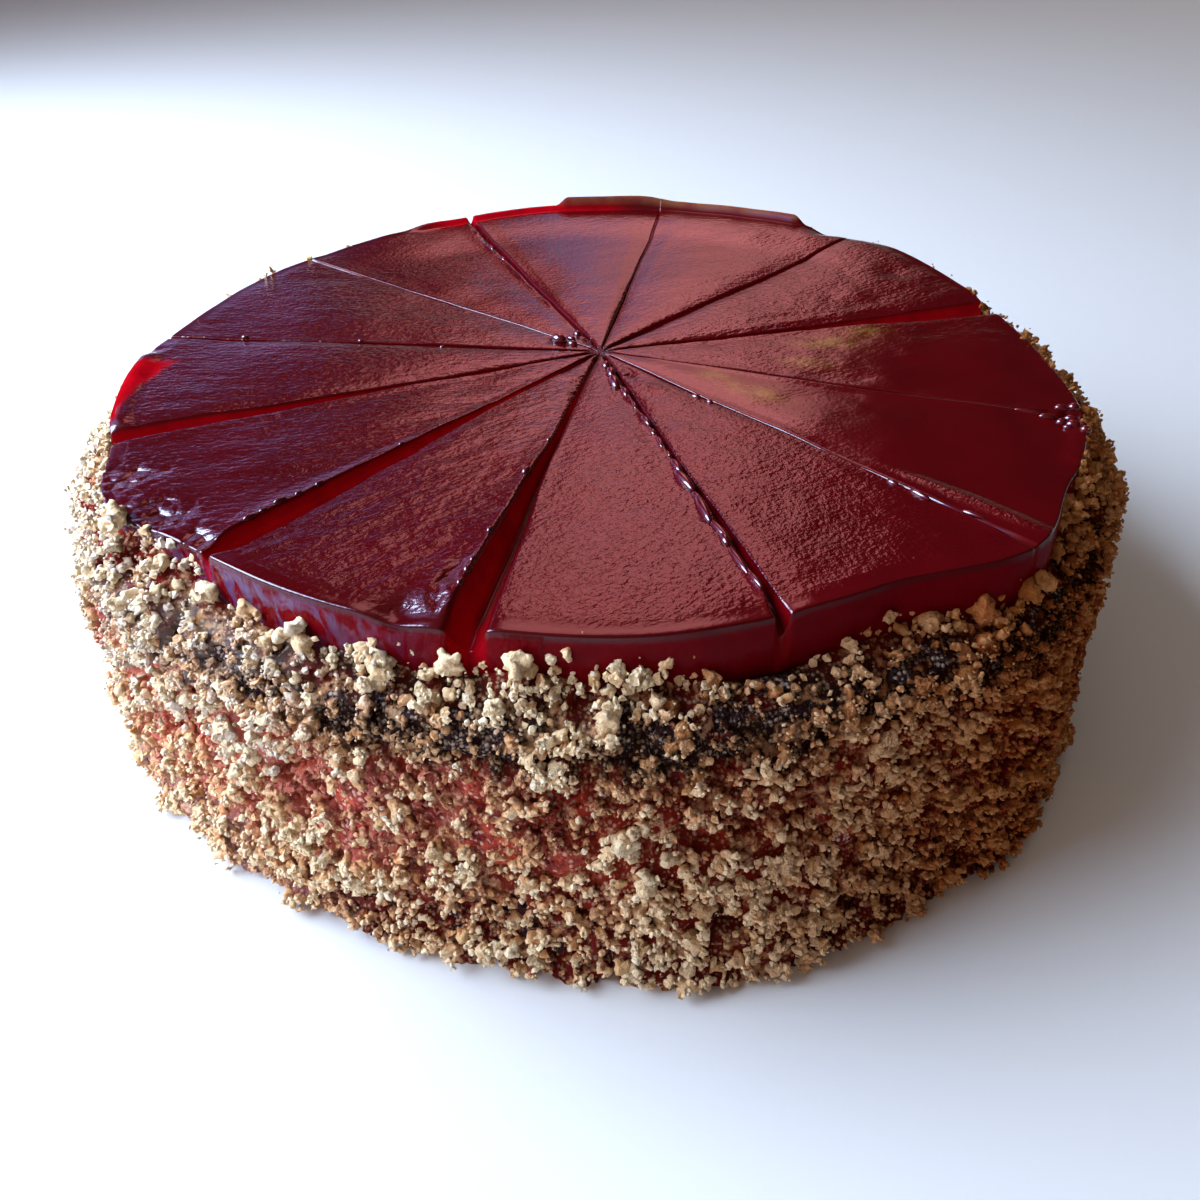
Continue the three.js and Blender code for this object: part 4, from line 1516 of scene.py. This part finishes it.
# The crumbs in the order in which they are dropped, a thin cover of small ones first: their kind and the
# share of it, the range of their sizes, how far they overlap the coat's upper edge, how much fewer they
# are where the coat is bare, how toasted they are, and which share of them gathers in the sponge's band
Drop = namedtuple("Drop", "kind share sizes overlap bare_share toasted in_band")
DROPS = (
    Drop("small", 0.25, (1.4, 2.4), 0.8, 0.5, (0.0, 0.5), 0),
    Drop("large", 1, (3.8, 7.2), 0.2, 0.6, (0.2, 0.9), 0.25),
    Drop("medium", 1, (2.8, 4.8), 0.6, 0.7, (0.1, 1.0), 0),
    Drop("common", 1, (1.9, 3.3), 0.8, 0.6, (0.05, 0.8), 0),
    Drop("small", 0.75, (1.3, 2.3), 1.4, 0.4, (0.0, 0.6), 0),
    Drop("tiny", 1, (0.9, 1.7), 1.6, 0.2, (0.0, 0.5), 0),
    Drop("fine", 1, (0.5, 1.2), 1.7, 0.1, (0.0, 0.3), 0.35),
)
# The kinds big enough to show the flat faces where they broke
BROKEN_KINDS = ("common", "small")


class CAKE_OT_crumbs(bpy.types.Operator):
    """Models the coat: a bed of fine crumbs and the loose crumbs on it"""

    bl_idname = "cake.crumbs"
    bl_label = "Crumb coat"

    def execute(self, context):
        settings = context.scene.cake_crumbs
        generator = np.random.default_rng(7)
        material = crumb_material()
        finish_piece(make_crumb_bed(), material, "crumb_coat")

        shapes = {
            "large": [lump_master(generator) for _ in range(16)],
            "medium": [ball_master(generator, CHIP) for _ in range(20)],
            "common": [ball_master(generator, PEBBLE) for _ in range(20)],
            "small": [ball_master(generator, BIT) for _ in range(14)],
        }
        shapes["tiny"] = shapes["small"]
        shapes["fine"] = [grain_master(generator) for _ in range(8)]

        heap = CrumbHeap(generator)
        made = {kind: [] for kind in shapes}
        azimuth, below, size = np.array(EDGE_CRUMBS, dtype=float).T
        height = CAKE_HEIGHT - below
        distance = np.array([heap.rest(*crumb, sure=True) for crumb in zip(azimuth, height, size)])
        made["large"].append(heap.crumbs(azimuth, height, size, distance, EDGE_TOAST))
        for drop in DROPS:
            count = int(getattr(settings, drop.kind) * drop.share)
            if drop.kind == "large":
                count -= len(EDGE_CRUMBS)
            drop_all = heap.scatter if drop.kind == "fine" else heap.heap
            made[drop.kind].append(drop_all(count, drop))
        for kind, masters in shapes.items():
            crumbs = [np.concatenate(values) for values in zip(*made[kind])]
            piece = joined_copies("crumbs_" + kind, masters, crumbs, generator)
            finish_piece(piece, material, "crumb_coat", flat=kind in BROKEN_KINDS)
        return {"FINISHED"}


# ------------------------------
# The stage

FLOOR_SIZE = 14
CAMERA_PLACE = (-1.0 * MM, -239.4 * MM, 178.7 * MM)
CAMERA_PITCH = 37.01
CAMERA_ROLL = -0.82
CAMERA_SENSOR = 36
CAMERA_NEAREST = 0.01
# A soft light: its azimuth and elevation from the cake, distance, width, height, colour, power, and
# whether it lights rough surfaces and is mirrored in glossy ones
Panel = namedtuple("Panel", "name azimuth elevation distance width height colour power lights mirrored")
PANELS = (
    Panel("window", 176, 35, 0.9, 0.9, 0.8, (0.76, 0.94, 1.2), 28, True, False),
    Panel("window_glint", 180, 36, 1.5, 1.0, 0.9, (0.72, 0.85, 1.0), 80, False, True),
    Panel("front_fill", 226, 27, 2.2, 2.2, 1.6, (1.0, 0.78, 0.67), 13, True, False),
    Panel("room_light", 290, 62, 2.0, 2.4, 2.0, (1.0, 0.60, 0.40), 2, True, False),
    Panel("side_fill", 35, 25, 2.2, 2.2, 1.6, (1.0, 0.90, 0.80), 6, True, False),
    Panel("back_light", 92, 50, 2.1, 3.6, 1.6, (1.0, 0.94, 0.89), 10, True, False),
)
# What the jelly mirrors of the room, the later over the earlier: azimuths, elevations, softness of the
# edges, all in degrees, and colour
Opening = namedtuple("Opening", "sides levels softness colour")
VIOLET_WALL = Opening((105, 165), (0, 34), 4, (0.18, 0.19, 0.48))
WINDOWS = (
    Opening((132, 216), (20, 59), 6, (1.1, 1.15, 2.7)),
    Opening((152, 206), (22, 55), 4, (1.9, 2.5, 8.5)),
    Opening((91, 100.5), (21, 44), 1.5, (1.7, 0.57, 0.59)),
    Opening((91, 106), (36, 62), 3, (3.6, 1.25, 1.28)),
)
ROSE_WINDOW = Opening((75.9, 93.5), (11, 48), 2.2, (1.5, 0.56, 0.56))
BACKDROP = (0.60, 0.60, 0.61)


def make_floor():
    settings = bpy.context.scene.cake_stage
    deselect_all()
    bpy.ops.mesh.primitive_plane_add(size=FLOOR_SIZE)
    floor = name_active("floor")
    material, tree, place = new_material("floor")
    colours = tinted(0.985, settings.floor_colour), settings.floor_colour
    paper = blend(tree, noise(tree, place, 3, 3), *colours)
    floor.data.materials.append(surface(material, paper, 0.9, 0.1))


def make_light(panel, target):
    turn = math.radians(panel.azimuth)
    rise = math.radians(panel.elevation)
    away = Vector((math.cos(turn) * math.cos(rise), math.sin(turn) * math.cos(rise), math.sin(rise)))
    deselect_all()
    bpy.ops.object.light_add(type="AREA")
    lamp = bpy.context.object
    lamp.name = panel.name
    lamp.data.shape = "RECTANGLE"
    lamp.data.size = panel.width
    lamp.data.size_y = panel.height
    lamp.data.color = panel.colour
    lamp.data.energy = panel.power
    lamp.location = target + panel.distance * away
    lamp.rotation_mode = "QUATERNION"
    lamp.rotation_quaternion = away.to_track_quat("Z", "Y")
    lamp.visible_camera = False
    lamp.visible_diffuse = panel.lights
    lamp.visible_glossy = panel.mirrored


def opened(tree, opening, azimuth, elevation):
    """1 inside a soft-edged opening of the room, 0 outside it."""
    (left, right), (low, high), soft, _ = opening
    share = fade(tree, azimuth, left - soft, left + soft)
    for value, edge in ((azimuth, right), (elevation, high)):
        share = times(tree, share, fade(tree, value, edge - soft, edge + soft, 1, 0))
    return times(tree, share, fade(tree, elevation, low - soft, low + soft))


def make_world():
    """A dim room: a warm ceiling, a rose-lit opening and a violet wall behind, and a pale low band."""
    world = bpy.data.worlds.new("room")
    bpy.context.scene.world = world
    world.use_nodes = True
    tree = world.node_tree
    tree.nodes.clear()
    direction = add_node(tree, "ShaderNodeTexCoord").outputs["Generated"]
    across, away, up = parted(tree, direction)
    azimuth = maths(tree, "DEGREES", maths(tree, "ARCTAN2", away, across))
    azimuth = maths(tree, "MODULO", maths(tree, "ADD", azimuth, 360.0), 360.0)
    elevation = maths(tree, "DEGREES", maths(tree, "ARCSINE", up))

    # Ceiling, front and low band, each darker towards the right
    side = fade(tree, across, -0.8, 0.6)
    ceiling = blend(tree, side, (0.22, 0.18, 0.17), (0.10, 0.06, 0.04))
    room = blend(tree, fade(tree, elevation, 38, 60), (0.02, 0.014, 0.012), ceiling)
    front = blend(tree, side, (0.26, 0.22, 0.22), (0.05, 0.03, 0.02))
    room = blend(tree, fade(tree, away, 0.1, -0.4), room, front)
    band = blend(tree, side, (0.50, 0.50, 0.54), (0.20, 0.15, 0.12))
    room = blend(tree, fade(tree, elevation, 6, 13, 1, 0), room, band)

    clutter = spotted(tree, direction, 110, 2, (0.4, 0.6), (0.25, 1.35))
    violet = blend(tree, fade(tree, elevation, 16, 30), VIOLET_WALL.colour, (0.10, 0.06, 0.13))
    violet = blend(tree, fade(tree, elevation, 8, 13), (0.8, 0.8, 1.7), violet)
    violet = blend(tree, 1.0, violet, clutter, "MULTIPLY")
    room = blend(tree, opened(tree, VIOLET_WALL, azimuth, elevation), room, violet)
    for window in WINDOWS:
        room = blend(tree, opened(tree, window, azimuth, elevation), room, window.colour)

    # The rose-lit opening leans, is brighter higher up, and is cool at its low left corner
    leaning = maths(tree, "SUBTRACT", azimuth, fade(tree, elevation, 25, 31, 0, 3.6))
    rose = blend(tree, fade(tree, elevation, 21, 31), ROSE_WINDOW.colour, (4.3, 1.5, 1.52))
    cool = times(tree, fade(tree, azimuth, 84, 92), fade(tree, elevation, 21.5, 27, 1, 0))
    rose = blend(tree, cool, rose, (0.42, 0.45, 0.92))
    room = blend(tree, opened(tree, ROSE_WINDOW, leaning, elevation), room, rose)

    # The room is only mirrored: seen directly, what lies past the floor is a plain pale backdrop
    seen = add_node(tree, "ShaderNodeLightPath").outputs["Is Camera Ray"]
    room = blend(tree, seen, room, BACKDROP)
    world.cycles_visibility.diffuse = False
    background = add_node(tree, "ShaderNodeBackground", {"Color": room, "Strength": 1.0})
    add_node(tree, "ShaderNodeOutputWorld", {0: background.outputs[0]})


def make_camera():
    settings = bpy.context.scene.cake_stage
    deselect_all()
    bpy.ops.object.camera_add()
    camera = bpy.context.object
    tilt = Matrix.Rotation(math.radians(90 - CAMERA_PITCH), 4, "X")
    roll = Matrix.Rotation(math.radians(CAMERA_ROLL), 4, "Z")
    camera.matrix_world = Matrix.Translation(CAMERA_PLACE) @ tilt @ roll
    camera.data.lens = settings.lens
    camera.data.sensor_width = CAMERA_SENSOR
    camera.data.clip_start = CAMERA_NEAREST
    bpy.context.scene.camera = camera


class CAKE_OT_stage(bpy.types.Operator):
    """Sets the floor, the lights, the room and the camera"""

    bl_idname = "cake.stage"
    bl_label = "Stage"

    def execute(self, context):
        low, high = CAD_BOX
        make_floor()
        for panel in PANELS:
            make_light(panel, (low + high) / 2)
        make_world()
        make_camera()
        context.scene.view_settings.view_transform = "Standard"
        return {"FINISHED"}


# ------------------------------
# Panel and start


class CAKE_PT_sidebar(bpy.types.Panel):
    """Lists the cake's operators and settings"""

    bl_idname = "CAKE_PT_sidebar"
    bl_label = "Cheesecake"
    bl_space_type = "VIEW_3D"
    bl_region_type = "UI"
    bl_category = "Cheesecake"

    def draw(self, context):
        for operator, group in STEPS:
            box = self.layout.box()
            box.operator(operator)
            settings = getattr(context.scene, group)
            for name in settings.bl_rna.properties.keys():
                if name not in ("rna_type", "name"):
                    box.prop(settings, name)


SETTINGS = {
    "cake_jelly": CakeJellySettings,
    "cake_layers": CakeLayerSettings,
    "cake_crumbs": CakeCrumbSettings,
    "cake_stage": CakeStageSettings,
}
STEPS = (
    ("cake.jelly", "cake_jelly"),
    ("cake.layers", "cake_layers"),
    ("cake.crumbs", "cake_crumbs"),
    ("cake.stage", "cake_stage"),
)
CLASSES = (
    *SETTINGS.values(), CAKE_OT_jelly, CAKE_OT_layers, CAKE_OT_crumbs, CAKE_OT_stage, CAKE_PT_sidebar,
)


def register():
    for made in CLASSES:
        bpy.utils.register_class(made)
    for name, group in SETTINGS.items():
        setattr(bpy.types.Scene, name, PointerProperty(type=group))


def unregister():
    for name in SETTINGS:
        delattr(bpy.types.Scene, name)
    for made in reversed(CLASSES):
        bpy.utils.unregister_class(made)


def main():
    register()
    bpy.ops.cake.jelly()
    bpy.ops.cake.layers()
    bpy.ops.cake.crumbs()
    bpy.ops.cake.stage()


if __name__ == "__main__":
    main()
